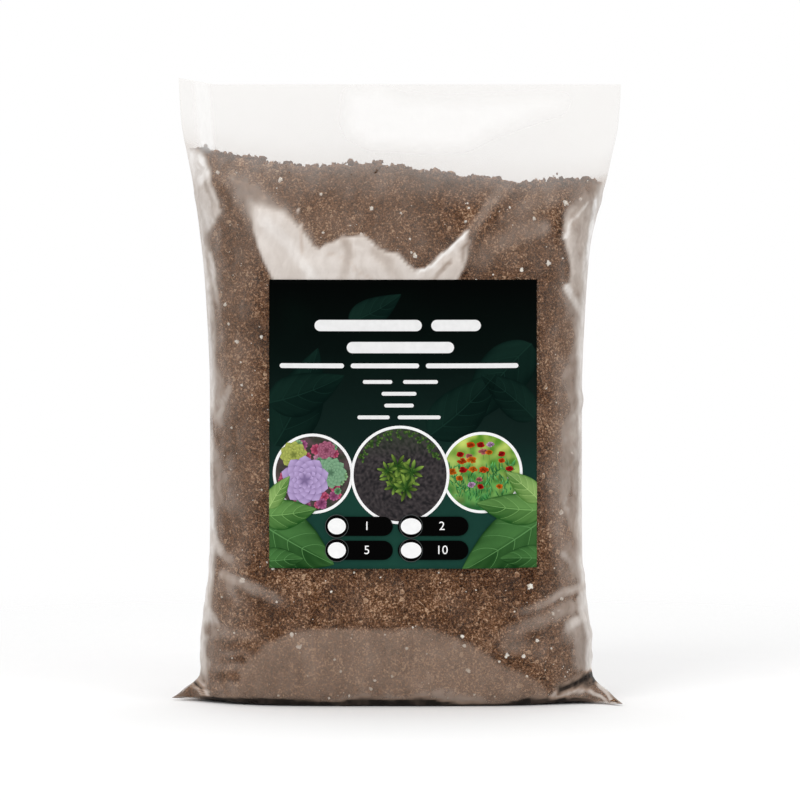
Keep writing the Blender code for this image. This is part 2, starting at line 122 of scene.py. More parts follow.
# Folds of the solid film: side, start and end as share of the half width and of the mouth
# height, width, height
FOLDS = (
    (-1, 0.99, 0.205, 0.56, 0.140, 15 * MM, 3.0 * MM),
    (-1, 0.99, 0.110, 0.64, 0.075, 14 * MM, 2.6 * MM),
    (-1, 1.00, 0.490, 0.80, 0.465, 14 * MM, 3.2 * MM),
    (-1, -0.99, 0.225, -0.70, 0.165, 15 * MM, 3.0 * MM),
    (-1, -0.99, 0.150, -0.74, 0.120, 13 * MM, 2.2 * MM),
    (-1, -1.00, 0.070, -0.80, 0.030, 12 * MM, 2.4 * MM),
    (-1, -0.88, 0.840, -0.62, 0.700, 18 * MM, 3.2 * MM),
    (-1, 0.92, 0.810, 0.84, 0.680, 20 * MM, 3.6 * MM),
    (-1, 0.62, 0.800, 0.30, 0.700, 16 * MM, 2.4 * MM),
    (-1, -0.62, 0.775, 0.12, 0.762, 34 * MM, 2.4 * MM),
    (-1, 0.34, 0.765, -0.04, 0.762, 34 * MM, 2.2 * MM),
    (1, 0.98, 0.190, 0.60, 0.130, 15 * MM, 3.0 * MM),
    (1, -0.99, 0.180, -0.62, 0.110, 15 * MM, 2.8 * MM),
    (1, -0.97, 0.820, -0.66, 0.700, 18 * MM, 3.0 * MM),
    (1, 0.97, 0.810, 0.70, 0.690, 18 * MM, 3.0 * MM),
    (1, 1.00, 0.072, 0.76, 0.032, 12 * MM, 2.4 * MM),
)

# Where the front film stands off the substrate and looks milky, and where painted highlights and reflections lie on
# it. Each pocket has an outline of x and z in millimetres, how soft its edge is, how milky it looks, how bright it is
# painted, and how far it lifts.
AIR_POCKETS = {
    "upper_left_veil": (
        ((-124.1, 367.8), (-116.1, 365.1), (-104.1, 357.1), (-92.0, 347.8), (-79.4, 337.1), (-66.0, 323.1), (-52.7, 305.8), (-64.0, 307.8), (-81.4, 310.4), (-89.4, 303.8), (-96.7, 318.4), (-102.7, 331.1), (-110.7, 343.1), (-118.1, 354.4)),
        5.5, 0.44, 0.58, 0.8),
    "bottom_veil": (
        ((-127.4, -7.1), (-116.1, 6.3), (-105.4, 15.6), (-102.1, 27.6), (-88.7, 39.6), (-78.7, 45.6), (-69.4, 49.0), (-56.0, 51.6), (-40.7, 52.3), (-7.3, 51.6), (12.7, 52.3), (24.0, 52.0), (39.4, 46.3), (52.7, 39.6), (64.0, 32.3), (74.0, 25.6), (87.4, 19.6), (96.0, 14.3), (101.4, 6.3), (106.7, -7.1)),
        1.8, 0.45, 0.385, 0.5),
    # over_label is partly milky film that stands off and partly a painted reflection: a bright patch where a lamp's
    # reflection lies in the film
    "over_label": (
        ((-95.4, 332.4), (-89.4, 331.1), (-79.4, 328.4), (-72.7, 325.8), (-62.7, 315.8), (-54.0, 304.4), (-50.0, 302.4), (-45.4, 305.8), (-34.0, 309.8), (-22.0, 311.8), (-16.0, 307.8), (-12.7, 303.1), (-6.0, 300.4), (1.3, 299.7), (8.0, 292.4), (13.3, 288.4), (18.0, 288.4), (28.0, 297.7), (39.4, 306.4), (46.7, 315.1), (48.0, 306.4), (46.7, 295.7), (40.7, 281.7), (37.4, 267.7), (-70.7, 267.7), (-80.7, 280.4), (-85.4, 291.1), (-90.7, 303.1), (-93.4, 314.4), (-95.4, 325.8)),
        1.3, 0.90, 0.74, 2.0),
    "right_pocket": (
        ((124.7, 351.1), (134.7, 353.1), (137.4, 336.4), (134.7, 319.1), (132.1, 304.4), (130.7, 282.4), (125.4, 267.7), (113.4, 274.4), (114.7, 286.4), (109.4, 309.1), (112.1, 326.4), (117.4, 339.1)),
        1.4, 0.74, 0.66, 1.0),
    "right_strip": (
        ((113.4, 275.7), (113.4, 261.1), (114.7, 234.4), (112.1, 211.0), (110.1, 194.4), (108.7, 171.0), (105.4, 147.7), (106.7, 121.0), (110.7, 101.0), (114.7, 84.3), (136.1, 81.0), (156.1, 94.3), (156.1, 281.1), (136.1, 277.7)),
        12.0, 0.54, 0.57, 0.5),
    "left_strip": (
        ((-129.4, 367.8), (-125.4, 347.8), (-120.7, 334.4), (-116.7, 328.4), (-120.1, 317.1), (-122.7, 301.1), (-120.7, 287.7), (-118.7, 267.7), (-118.1, 234.4), (-112.1, 211.0), (-114.1, 187.7), (-116.1, 167.7), (-110.7, 154.3), (-114.7, 141.0), (-119.4, 127.7), (-121.4, 114.3), (-124.1, 94.3), (-124.1, 67.6), (-125.4, 41.0), (-146.7, 27.6), (-149.4, 19.6), (-160.1, 16.9), (-144.1, 367.8)),
        11.0, 0.56, 0.63, 0.5),
    "left_pocket": (
        ((-140.1, 370.5), (-130.1, 367.8), (-122.7, 346.4), (-116.1, 328.4), (-119.4, 319.8), (-126.7, 311.8), (-137.4, 324.4)),
        1.6, 0.72, 0.76, 0.6),
    "left_low_veil": (
        ((-137.4, 41.0), (-120.7, 43.0), (-104.1, 37.0), (-89.4, 40.3), (-102.1, 27.6), (-106.7, 12.9), (-127.4, -0.4), (-140.1, 4.9)),
        3.0, 0.36, 0.46, 0.5),
    "left_low_edge": (
        ((-137.4, 41.0), (-129.4, 35.6), (-123.4, 26.3), (-124.7, 16.9), (-127.4, 6.3), (-136.1, 11.6)),
        2.5, 0.66, 0.66, 0.5),
    "left_bulge": (
        ((-133.4, 67.6), (-125.4, 65.6), (-120.1, 59.6), (-116.1, 52.3), (-121.4, 45.6), (-128.7, 41.0), (-133.4, 41.0)),
        2.0, 0.62, 0.74, 0.8),
    "right_bulge": (
        ((120.7, 71.6), (123.4, 75.6), (125.4, 73.0), (128.1, 59.6), (122.7, 57.0), (118.1, 66.3)),
        1.2, 0.66, 0.70, 0.8),
    "right_low_veil": (
        ((114.1, 51.6), (119.4, 54.3), (129.4, 57.0), (132.1, 19.6), (125.4, 18.3), (118.7, 22.3), (117.4, 34.3), (114.7, 41.0)),
        3.0, 0.48, 0.54, 0.6),
    "right_low_edge": (
        ((125.4, 57.0), (133.4, 59.6), (136.1, 15.6), (128.1, 14.3), (126.1, 27.6), (126.7, 41.0)),
        1.6, 0.74, 0.84, 0.6),
    "bottom_band": (
        ((-64.0, -7.1), (-52.0, 1.6), (-42.7, 3.6), (-34.0, 6.9), (-10.7, 8.3), (9.3, 7.6), (22.7, 10.9), (36.0, 12.9), (44.7, 7.6), (54.7, 7.6), (62.7, 2.9), (76.0, -7.1)),
        2.6, 0.44, 0.50, 0.5),
}

# Soft ridges where the slack film catches the light, as painted highlights, and dark creases between them, as painted
# shade: the line's x and z in millimetres from its strong end, width, how milky, how bright, lift.
STREAKS = (
    (((-122.1, 109.7), (-116.1, 101.7), (-106.1, 92.3)), 5.6, 0.70, 0.70, 1.0),
    (((-123.4, 154.3), (-116.1, 139.7), (-104.1, 129.0)), 9.0, 0.52, 0.54, 0.6),
    (((-122.1, 185.0), (-116.1, 177.0), (-105.4, 170.4)), 9.0, 0.38, 0.48, 0.4),
    (((-123.4, 126.3), (-122.1, 119.7), (-119.4, 112.3)), 2.6, 0.74, 0.92, 0.4),
    (((-112.7, 85.0), (-96.0, 79.0), (-74.0, 69.0)), 6.8, 0.60, 0.56, 1.2),
    (((-114.7, 79.0), (-108.7, 74.3), (-101.4, 69.6)), 8.0, 0.44, 0.48, 0.8),
    (((-122.7, 49.0), (-109.4, 46.3), (-89.4, 46.3)), 8.0, 0.42, 0.46, 0.8),
    (((-92.0, 39.0), (-104.1, 40.3), (-117.4, 41.0)), 7.0, 0.08, 0.40, 0.0),
    (((-101.4, 30.9), (-109.4, 30.3), (-117.4, 29.6)), 5.0, 0.08, 0.40, 0.0),
    (((-106.7, 18.9), (-113.4, 18.9), (-122.7, 16.9)), 6.0, 0.08, 0.40, 0.0),
    (((123.4, 77.0), (109.4, 74.3), (96.7, 68.3), (79.4, 61.6)), 5.4, 0.66, 0.62, 1.2),
    (((116.1, 65.0), (106.7, 61.6), (88.0, 54.3), (68.0, 46.3)), 8.4, 0.52, 0.52, 1.0),
    (((126.7, 58.3), (119.4, 55.6), (114.1, 52.3), (111.4, 45.6)), 5.0, 0.76, 0.74, 1.2),
    (((74.7, 41.0), (86.7, 39.6), (100.1, 32.9)), 10.0, 0.34, 0.44, 0.5),
    (((110.7, 99.6), (116.1, 93.0), (122.1, 85.0)), 3.6, 0.56, 0.66, 0.8),
    (((109.4, 121.0), (114.7, 110.3), (120.7, 102.3)), 6.0, 0.36, 0.52, 0.6),
    (((72.7, 341.8), (62.7, 331.8), (49.4, 313.1), (44.7, 293.1)), 6.5, 0.46, 0.46, 0.8),
    (((102.1, 339.1), (89.4, 330.4), (72.7, 318.4), (62.7, 307.8)), 12.0, 0.40, 0.45, 0.8),
    (((96.0, 317.1), (79.4, 311.8), (64.0, 303.8), (52.0, 289.1)), 11.0, 0.44, 0.45, 0.8),
    (((124.1, 331.1), (116.1, 320.4), (110.7, 309.1)), 1.8, 0.84, 0.78, 0.6),
    (((132.1, 334.4), (130.1, 317.8), (128.1, 293.1)), 2.6, 0.84, 0.90, 0.6),
    (((112.7, 277.1), (118.1, 268.4), (124.7, 255.7)), 3.6, 0.80, 0.80, 0.8),
    (((125.4, 253.1), (120.7, 233.0), (124.7, 206.4)), 3.0, 0.70, 0.76, 0.6),
    (((126.7, 201.0), (120.7, 194.4), (114.7, 186.4)), 3.4, 0.62, 0.72, 0.6),
    (((124.1, 181.0), (119.4, 154.3), (122.1, 121.0)), 3.6, 0.58, 0.70, 0.6),
    (((-134.7, 370.5), (-130.7, 361.1), (-126.7, 346.4), (-122.1, 331.8)), 7.0, 0.76, 0.78, 0.6),
    (((-139.4, 370.5), (-134.7, 362.4), (-130.7, 351.8)), 11.0, 0.90, 0.88, 0.4),
    (((-126.7, 346.4), (-123.4, 334.4), (-116.7, 328.4)), 1.8, 0.60, 0.72, 0.6),
    (((-123.4, 297.1), (-120.1, 281.1), (-118.1, 265.1)), 2.6, 0.70, 0.78, 0.5),
    (((-110.1, 209.0), (-114.1, 199.7), (-119.4, 187.7)), 3.4, 0.52, 0.66, 0.6),
    (((-125.4, 247.7), (-122.7, 233.0), (-124.1, 214.4)), 3.4, 0.62, 0.84, 0.6),
    (((-64.7, 327.8), (-61.4, 311.1), (-62.0, 290.4)), 1.0, 0.96, 0.60, 0.4),
    (((-44.0, 299.7), (-29.3, 293.1), (-16.0, 281.1)), 1.2, 0.95, 0.64, 0.3),
    (((-85.4, 319.8), (-70.7, 305.1), (-53.4, 282.4)), 6.0, 0.94, 0.80, 0.3),
    (((46.7, 313.8), (36.0, 303.1), (21.3, 289.7), (14.7, 287.1)), 1.8, 0.97, 0.90, 0.6),
    (((47.4, 307.1), (42.0, 301.1), (44.7, 289.1)), 2.0, 0.60, 0.46, 0.5),
    (((34.7, 293.1), (27.3, 286.4), (22.7, 279.7)), 2.4, 0.70, 0.52, 0.4),
    (((-34.0, 307.8), (-30.7, 297.7), (-36.0, 281.1)), 5.0, 0.74, 0.58, 0.3),
    (((-14.0, 301.1), (-4.0, 293.1), (1.3, 279.7)), 5.0, 0.78, 0.62, 0.3),
    (((-122.1, 411.8), (-121.4, 394.5), (-120.1, 370.5)), 1.6, 0.50, 0.62, 0.3),
    (((-128.1, 407.8), (-125.4, 393.1), (-123.4, 374.5)), 2.6, 0.70, 1.00, 0.3),
    (((-136.1, 11.6), (-131.4, 7.6), (-128.1, 0.9)), 2.6, 0.86, 0.62, 0.6),
    # painted shade: a dark crease line in the left lower corner
    (((-134.7, 12.9), (-130.7, 9.6), (-126.7, 3.6)), 3.2, 0.96, 0.05, 0.0),
    (((-131.4, 14.9), (-127.4, 7.6), (-124.7, 0.9)), 3.0, 0.84, 0.63, 0.4),
    (((102.1, 0.9), (114.7, 7.6), (126.7, 10.3)), 3.2, 0.66, 0.60, 0.6),
    (((126.7, 10.3), (134.1, 4.9), (140.1, 2.3)), 2.4, 0.66, 0.66, 0.6),
    (((132.1, 13.6), (140.1, 6.9), (148.7, -1.7)), 2.6, 0.70, 0.72, 0.4),
    (((102.1, 3.6), (106.7, 9.6), (113.4, 14.9), (122.7, 18.3)), 2.4, 0.70, 0.58, 0.4),
    # painted shade: dark crease lines in the right lower corner
    (((130.7, 17.6), (122.7, 15.6), (114.1, 12.9), (108.7, 10.3)), 5.4, 0.98, 0.00, 0.0),
    (((126.1, 11.6), (129.4, 12.9), (132.1, 13.6)), 3.0, 0.94, 0.02, 0.0),
)

# What the back of the bag doesn't have: the pocket over the label and the folds around it
FRONT_POCKETS = ("over_label", "upper_left_veil")
FRONT_STREAKS_ABOVE = 278.0

# Pockets that fade out slowly at their upper end
SOFT_TOPS = ("over_label", "right_pocket")

# The painted highlight down the upright fold at the top left, and the bright painted reflection across the empty top
# of the film
TOP_FOLD = ((-129.4, 413.1), (-125.4, 370.5))
TOP_GLEAM = ((-32.7, 386.5), (-30.7, 403.8), (-12.0, 407.8), (4.0, 400.5), (36.0, 398.5), (96.0, 401.8), (110.7, 400.5), (108.1, 395.1), (86.0, 387.8), (62.7, 379.1), (46.0, 370.5), (16.0, 369.1), (-16.0, 371.1), (-29.3, 378.5))

# White grains that lie in the face of the filling: side, share of the half width, share of
# FILL_HEIGHT, diameter in millimetres. They are the solid model's own grains, in its order.
GRAINS = (
    (-1, 0.84, 0.949, 5.4),
    (-1, 0.66, 0.824, 4.2),
    (-1, 0.80, 0.836, 4.0),
    (-1, -0.58, 0.993, 3.6),
    (-1, -0.13, 0.939, 3.8),
    (-1, 0.10, 0.851, 3.8),
    (-1, -0.83, 0.235, 5.0),
    (-1, -0.50, 0.115, 4.4),
    (-1, 0.72, 0.227, 5.4),
    (-1, 0.90, 0.364, 3.8),
    (-1, 0.37, 0.070, 3.6),
    (-1, 0.57, 0.097, 3.4),
    (1, -0.40, 0.716, 4.4),
    (1, 0.35, 0.505, 5.0),
    (1, 0.62, 0.822, 3.8),
    (1, 0.05, 0.188, 4.6),
)


# Shape of the filled tube


def steady_slopes(values):
    """Slopes of a curve through the values, one step apart, that never swings past them."""
    rises = np.diff(values, axis=0)
    before, after = rises[:-1], rises[1:]
    same_way = before * after > 0
    total = np.where(same_way, before + after, 1.0)
    inner = np.where(same_way, 2 * before * after / total, 0.0)
    return np.concatenate((rises[:1], inner, rises[-1:]))


SECTION_SLOPES = steady_slopes(SECTIONS)


def section_at(number):
    """Middle height, crease height, half width, half depth and fullness at section numbers."""
    number = np.clip(np.asarray(number, float), 0, len(SECTIONS) - 1)
    low = np.minimum(number.astype(int), len(SECTIONS) - 2)
    t = (number - low)[..., None]
    lift = (2 * t**3 - 3 * t**2 + 1) * SECTIONS[low] + (3 * t**2 - 2 * t**3) * SECTIONS[low + 1]
    tilt = (t**3 - 2 * t**2 + t) * SECTION_SLOPES[low] + (t**3 - t**2) * SECTION_SLOPES[low + 1]
    return np.moveaxis(lift + tilt, -1, 0)


NUMBER_TABLE = np.linspace(BASE_SECTIONS, len(SECTIONS) - 1, 4000)
HEIGHT_TABLE = section_at(NUMBER_TABLE)[0]


def number_at_height(height):
    return np.interp(height, HEIGHT_TABLE, NUMBER_TABLE)


def past(value, start, end):
    """How far a value is on its way from start to end, held between 0 and 1."""
    return np.clip((value - start) / (end - start), 0.0, 1.0)


def smooth(t):
    return t * t * (3 - 2 * t)


def lean(x, number):
    """How film and substrate lean out of line with the weld."""
    reach = 0.5 * LAY_FLAT_WIDTH
    height = section_at(number)[0] / MOUTH_HEIGHT
    ear = past(x, EAR_SWEEP_FROM * reach, reach) ** 1.5 * past(number, EAR_SECTIONS, 0.0)
    corner = past(-x, MOUTH_CORNER_FROM * reach, reach) * past(height, HEAP_FROM, 1.0)
    shift = MOUTH_SHIFT * past(height, 0.75, 0.85)
    return np.stack(
        (shift, MOUTH_CORNER_SWEEP * corner - EAR_SWEEP * ear, MOUTH_CORNER_RISE * corner), -1
    )


def tube_point(share, side, number, inset=0.0, crease_inset=0.0, ear_inset=0.0):
    """A point of the tube at a share of its half width, on a side, at a section number."""
    middle, crease, half_width, half_depth, fullness = section_at(number)
    low = np.clip(1.0 - middle / EAR_HEIGHT, 0.0, 1.0)
    half_width = half_width - crease_inset - low * ear_inset
    half_depth = half_depth - inset
    inner = np.clip(1.0 - np.abs(share) ** fullness, 0.0, 1.0)
    depth = FOLD_RADIUS + (half_depth - FOLD_RADIUS) * inner**NOSE_POWER
    depth = np.where(np.abs(share) > 1.0 - 1e-9, 0.0, depth)
    x = half_width * share
    z = middle + low * inset + (crease - middle) * np.abs(share) ** CREASE_POWER
    return np.stack((x, side * depth, z), -1) + lean(x, number)


def outward(share, side, number):
    """Level direction out of the tube."""
    _, _, half_width, half_depth, fullness = section_at(number)
    inner = np.clip(1.0 - np.abs(share) ** fullness, 1e-9, 1.0) ** NOSE_POWER
    across = fullness / half_width * np.abs(share) ** (fullness - 1) * np.sign(share)
    away = 1.0 / (NOSE_POWER * half_depth) * inner ** (1.0 / NOSE_POWER - 1.0)
    out = np.stack((across, side * away, np.zeros_like(across)), -1)
    return out / np.linalg.norm(out, axis=-1, keepdims=True)


def fold_height(share, side, height):
    lift = np.zeros_like(share)
    here = np.stack((share * 0.5 * BODY_WIDTH, height), -1)
    for fold_side, from_share, from_height, to_share, to_height, width, most in FOLDS:
        start = np.array((from_share * 0.5 * BODY_WIDTH, from_height * MOUTH_HEIGHT))
        run = np.array((to_share * 0.5 * BODY_WIDTH, to_height * MOUTH_HEIGHT)) - start
        along = np.clip((here - start) @ run / (run @ run), 0.0, 1.0)
        away = np.linalg.norm(here - start - along[..., None] * run, axis=-1) / (0.5 * width)
        ridge = most * (1.0 - along) ** 0.5 * np.clip(1.0 - away * away, 0.0, 1.0) ** 2
        lift = np.where(fold_side == side, np.maximum(lift, ridge), lift)
    return lift


def fill_line(share):
    return np.interp(share, FILL_LINE[:, 0], FILL_LINE[:, 1])


def rim_height(share):
    return FILL_HEIGHT * (1.0 + fill_line(share)) - HEAP_RISE


def heap_lumps(x, y):
    """Lumps of the loose surface, a few millimetres high."""
    here = np.stack((x / CRUMB_SPACING, y / CRUMB_SPACING, np.full_like(x, 0.37)), -1)
    return CRUMB_HEIGHT * np.array([noise.noise(Vector(p)) for p in here])


def rows_along_profile(spacing, first, last):
    """Section numbers about one spacing apart along the middle of the front."""
    numbers = np.linspace(first, last, 6000)
    middle, crease, _, depth, _ = section_at(numbers)
    run = np.concatenate(([0.0], np.cumsum(np.hypot(np.diff(middle + crease) * 0.5, np.diff(depth)))))
    count = int(run[-1] / spacing)
    return np.interp(np.linspace(0, run[-1], count + 1), run, numbers)


# Distances in the plane of the front, for outlines and lines in millimetres


def distance_to_line(points, line):
    """Distance from each point to a line of points, and how far along it the nearest place is."""
    line = np.array(line, float)
    best = np.full(len(points), 1e9)
    where = np.zeros(len(points))
    lengths = np.linalg.norm(np.diff(line, axis=0), axis=1)
    total = lengths.sum()
    done = 0.0
    for a, b, length in zip(line, line[1:], lengths):
        t = np.clip((points - a) @ (b - a) / (length * length), 0.0, 1.0)
        away = np.linalg.norm(points - a - t[:, None] * (b - a), axis=1)
        nearer = away < best
        best = np.where(nearer, away, best)
        where = np.where(nearer, (done + t * length) / total, where)
        done += length
    return best, where


def inside_outline(points, outline):
    """Distance to an outline, below 0 inside it."""
    outline = np.array(outline, float)
    away, _ = distance_to_line(points, np.concatenate((outline, outline[:1])))
    within = np.zeros(len(points), bool)
    for (ax, az), (bx, bz) in zip(outline, np.roll(outline, -1, axis=0)):
        crosses = (az > points[:, 1]) != (bz > points[:, 1])
        at = ax + (points[:, 1] - az) / (bz - az + 1e-12) * (bx - ax)
        within ^= crosses & (points[:, 0] < at)
    return np.where(within, -away, away)


def uneven(points, scale, seed, depth=3):
    """Smooth noise about 0 at points, each in units of the scale."""
    offset = Vector((seed * 7.31, seed * 3.17, seed * 1.73))
    values = [noise.fractal(Vector(p) / scale + offset, 1.0, 2.0, depth) for p in points]
    return np.array(values)


# Meshes from arrays


def mesh_from(name, points, faces, attributes=None, smooth_faces=True):
    """A mesh of triangles or quads with float attributes on its points."""
    data = bpy.data.meshes.new(name)
    faces = np.asarray(faces, np.int32)
    corners = faces.shape[1]
    data.vertices.add(len(points))
    data.vertices.foreach_set("co", np.asarray(points, np.float32).ravel())
    data.loops.add(faces.size)
    data.loops.foreach_set("vertex_index", faces.ravel())
    data.polygons.add(len(faces))
    data.polygons.foreach_set("loop_start", np.arange(0, faces.size, corners, dtype=np.int32))
    data.update(calc_edges=True)
    data.polygons.foreach_set("use_smooth", np.full(len(faces), smooth_faces))
    for label, values in (attributes or {}).items():
        values = np.asarray(values, np.float32)
        if values.ndim == 1:
            layer = data.attributes.new(label, "FLOAT", "POINT")
            layer.data.foreach_set("value", values)
        else:
            layer = data.color_attributes.new(label, "FLOAT_COLOR", "POINT")
            layer.data.foreach_set("color", values.ravel())
    data.validate()
    return data


def piece(name, data, material, replaces=()):
    obj = bpy.data.objects.new(name, data)
    bpy.context.scene.collection.objects.link(obj)
    data.materials.append(material)
    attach(obj, "root")
    if replaces:
        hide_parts(*replaces)
    return obj


def ring_faces(rows, around):
    """Quads that join rings of points, one ring after another."""
    i = np.arange(rows - 1)[:, None] * around
    j = np.arange(around)[None, :]
    beyond = (j + 1) % around
    return np.stack((i + j, i + beyond, i + around + beyond, i + around + j), -1).reshape(-1, 4)


def ring_shares(columns):
    """Shares and sides once round the tube: the front from left to right, then the back."""
    shares = np.sin(np.pi * (np.arange(columns + 1) / columns - 0.5))
    share = np.concatenate((shares, shares[-2:0:-1]))
    side = np.concatenate((np.full(columns + 1, -1.0), np.full(columns - 1, 1.0)))
    return share, side


# Node helpers


def node(tree, kind, inputs=None, **settings):
    made = tree.nodes.new(kind)
    for key, value in settings.items():
        setattr(made, key, value)
    for key, value in (inputs or {}).items():
        socket = made.inputs[key]
        if isinstance(value, bpy.types.NodeSocket):
            tree.links.new(value, socket)
        else:
            socket.default_value = value
    return made


def math_node(tree, operation, *values, clamp=False):
    made = node(tree, "ShaderNodeMath", operation=operation, use_clamp=clamp)
    for socket, value in zip(made.inputs, values):
        if isinstance(value, bpy.types.NodeSocket):
            tree.links.new(value, socket)
        else:
            socket.default_value = value
    return made.outputs[0]


def mix_colour(tree, factor, a, b, blend="MIX"):
    made = node(tree, "ShaderNodeMix", data_type="RGBA", blend_type=blend)
    for socket, value in ((made.inputs[0], factor), (made.inputs[6], a), (made.inputs[7], b)):
        if isinstance(value, bpy.types.NodeSocket):
            tree.links.new(value, socket)
        else:
            socket.default_value = value
    return made.outputs[2]


def ramp(tree, factor, stops):
    made = node(tree, "ShaderNodeValToRGB", {"Fac": factor})
    elements = made.color_ramp.elements
    while len(elements) < len(stops):
        elements.new(0.5)
    for element, (place, colour) in zip(elements, stops):
        element.position = place
        element.color = (*colour, 1.0)
    return made.outputs["Color"]


def attribute(tree, name, output="Fac"):
    return node(tree, "ShaderNodeAttribute", attribute_name=name).outputs[output]


def new_material(name):
    material = bpy.data.materials.new(name)
    material.use_nodes = True
    material.node_tree.nodes.clear()
    return material, material.node_tree


def finish_surface(tree, shader):
    output = node(tree, "ShaderNodeOutputMaterial")
    tree.links.new(shader, output.inputs["Surface"])


def new_group(name, inputs, outputs):
    group = bpy.data.node_groups.new(name, "ShaderNodeTree")
    for label, kind, value in inputs:
        socket = group.interface.new_socket(label, in_out="INPUT", socket_type=kind)
        if value is not None:
            socket.default_value = value
    for label, kind in outputs:
        group.interface.new_socket(label, in_out="OUTPUT", socket_type=kind)
    return group, node(group, "NodeGroupInput"), node(group, "NodeGroupOutput")


def use_group(tree, group, **inputs):
    made = node(tree, "ShaderNodeGroup", node_tree=group)
    for key, value in inputs.items():
        socket = made.inputs[key.replace("_", " ")]
        if isinstance(value, bpy.types.NodeSocket):
            tree.links.new(value, socket)
        else:
            socket.default_value = value
    return made


# Node groups that more than one material uses


def earth_group():
    """Colour and relief of moist coir and peat: dark gaps, brown crumbs, tan flecks and fibres. The dark gaps are
    painted shade, because the noise that raises the crumbs also darkens the colour where the relief is low.
    """
    group, given, out = new_group(
        "moist_earth",
        [
            ("Tone", "NodeSocketFloat", 0.5),
            ("Crumb Scale", "NodeSocketFloat", 850.0),
            ("Contrast", "NodeSocketFloat", 3.4),
            ("Fibre Amount", "NodeSocketFloat", 0.5),
        ],
        [("Color", "NodeSocketColor"), ("Height", "NodeSocketFloat"), ("Roughness", "NodeSocketFloat")],
    )
    place = node(group, "ShaderNodeTexCoord").outputs["Object"]
    scale = given.outputs["Crumb Scale"]
    crumbs = node(
        group, "ShaderNodeTexNoise", {"Vector": place, "Scale": scale, "Detail": 3.0, "Roughness": 0.62}
    ).outputs["Fac"]
    clumps = node(group, "ShaderNodeTexNoise", {"Vector": place, "Scale": 270.0, "Detail": 2.0}).outputs["Fac"]
    drift = node(group, "ShaderNodeTexNoise", {"Vector": place, "Scale": 30.0, "Detail": 2.0}).outputs["Fac"]
    # painted shade: the colour follows the crumbs noise that also sets the height below, so it darkens where the
    # relief is low
    crumb = math_node(group, "SUBTRACT", crumbs, 0.5)
    tone = math_node(group, "MULTIPLY_ADD", crumb, given.outputs["Contrast"], given.outputs["Tone"])
    tone = math_node(group, "MULTIPLY_ADD", clumps, 0.9, tone)
    tone = math_node(group, "MULTIPLY_ADD", drift, 0.8, tone)
    tone = math_node(group, "SUBTRACT", tone, 0.82, clamp=True)
    colour = ramp(
        group,
        tone,
        (
            (0.0, (0.017, 0.0068, 0.0027)),
            (0.25, (0.060, 0.0250, 0.0108)),
            (0.50, (0.136, 0.058, 0.0255)),
            (0.75, (0.265, 0.131, 0.066)),
            (1.0, (0.600, 0.410, 0.270)),
        ),
    )
    strands = node(
        group, "ShaderNodeTexNoise", {"Vector": place, "Scale": 230.0, "Detail": 2.0, "Distortion": 1.8}
    ).outputs["Fac"]
    line = math_node(group, "ABSOLUTE", math_node(group, "SUBTRACT", strands, 0.5))
    line = math_node(group, "SUBTRACT", 1.0, math_node(group, "DIVIDE", line, 0.022), clamp=True)
    more = node(
        group, "ShaderNodeTexNoise", {"Vector": place, "Scale": 360.0, "Detail": 1.0, "Distortion": 2.4}
    ).outputs["Fac"]
    other = math_node(group, "ABSOLUTE", math_node(group, "SUBTRACT", more, 0.45))
    other = math_node(group, "SUBTRACT", 1.0, math_node(group, "DIVIDE", other, 0.020), clamp=True)
    line = math_node(group, "MULTIPLY", math_node(group, "MAXIMUM", line, other), given.outputs["Fibre Amount"])
    colour = mix_colour(group, line, colour, (0.46, 0.250, 0.125, 1.0))
    height = math_node(group, "MULTIPLY_ADD", line, 0.35, crumbs)
    rough = math_node(group, "MULTIPLY_ADD", crumbs, 0.3, 0.70)
    group.links.new(colour, out.inputs["Color"])
    group.links.new(height, out.inputs["Height"])
    group.links.new(rough, out.inputs["Roughness"])
    return group


def print_grain_group():
    """Faint mottle and relief of printed, coated paper."""
    group, given, out = new_group(
        "coated_paper",
        [("Color", "NodeSocketColor", (0.5, 0.5, 0.5, 1.0))],
        [("Color", "NodeSocketColor"), ("Height", "NodeSocketFloat"), ("Roughness", "NodeSocketFloat")],
    )
    place = node(group, "ShaderNodeTexCoord").outputs["Object"]
    mottle = node(group, "ShaderNodeTexNoise", {"Vector": place, "Scale": 260.0, "Detail": 4.0}).outputs["Fac"]
    shade = math_node(group, "MULTIPLY_ADD", mottle, 0.16, 0.92)
    grey = node(group, "ShaderNodeCombineColor", {0: shade, 1: shade, 2: shade}).outputs[0]
    colour = mix_colour(group, 1.0, given.outputs["Color"], grey, "MULTIPLY")
    group.links.new(colour, out.inputs["Color"])
    group.links.new(mottle, out.inputs["Height"])
    group.links.new(math_node(group, "MULTIPLY_ADD", mottle, 0.12, 0.42), out.inputs["Roughness"])
    return group


# Materials


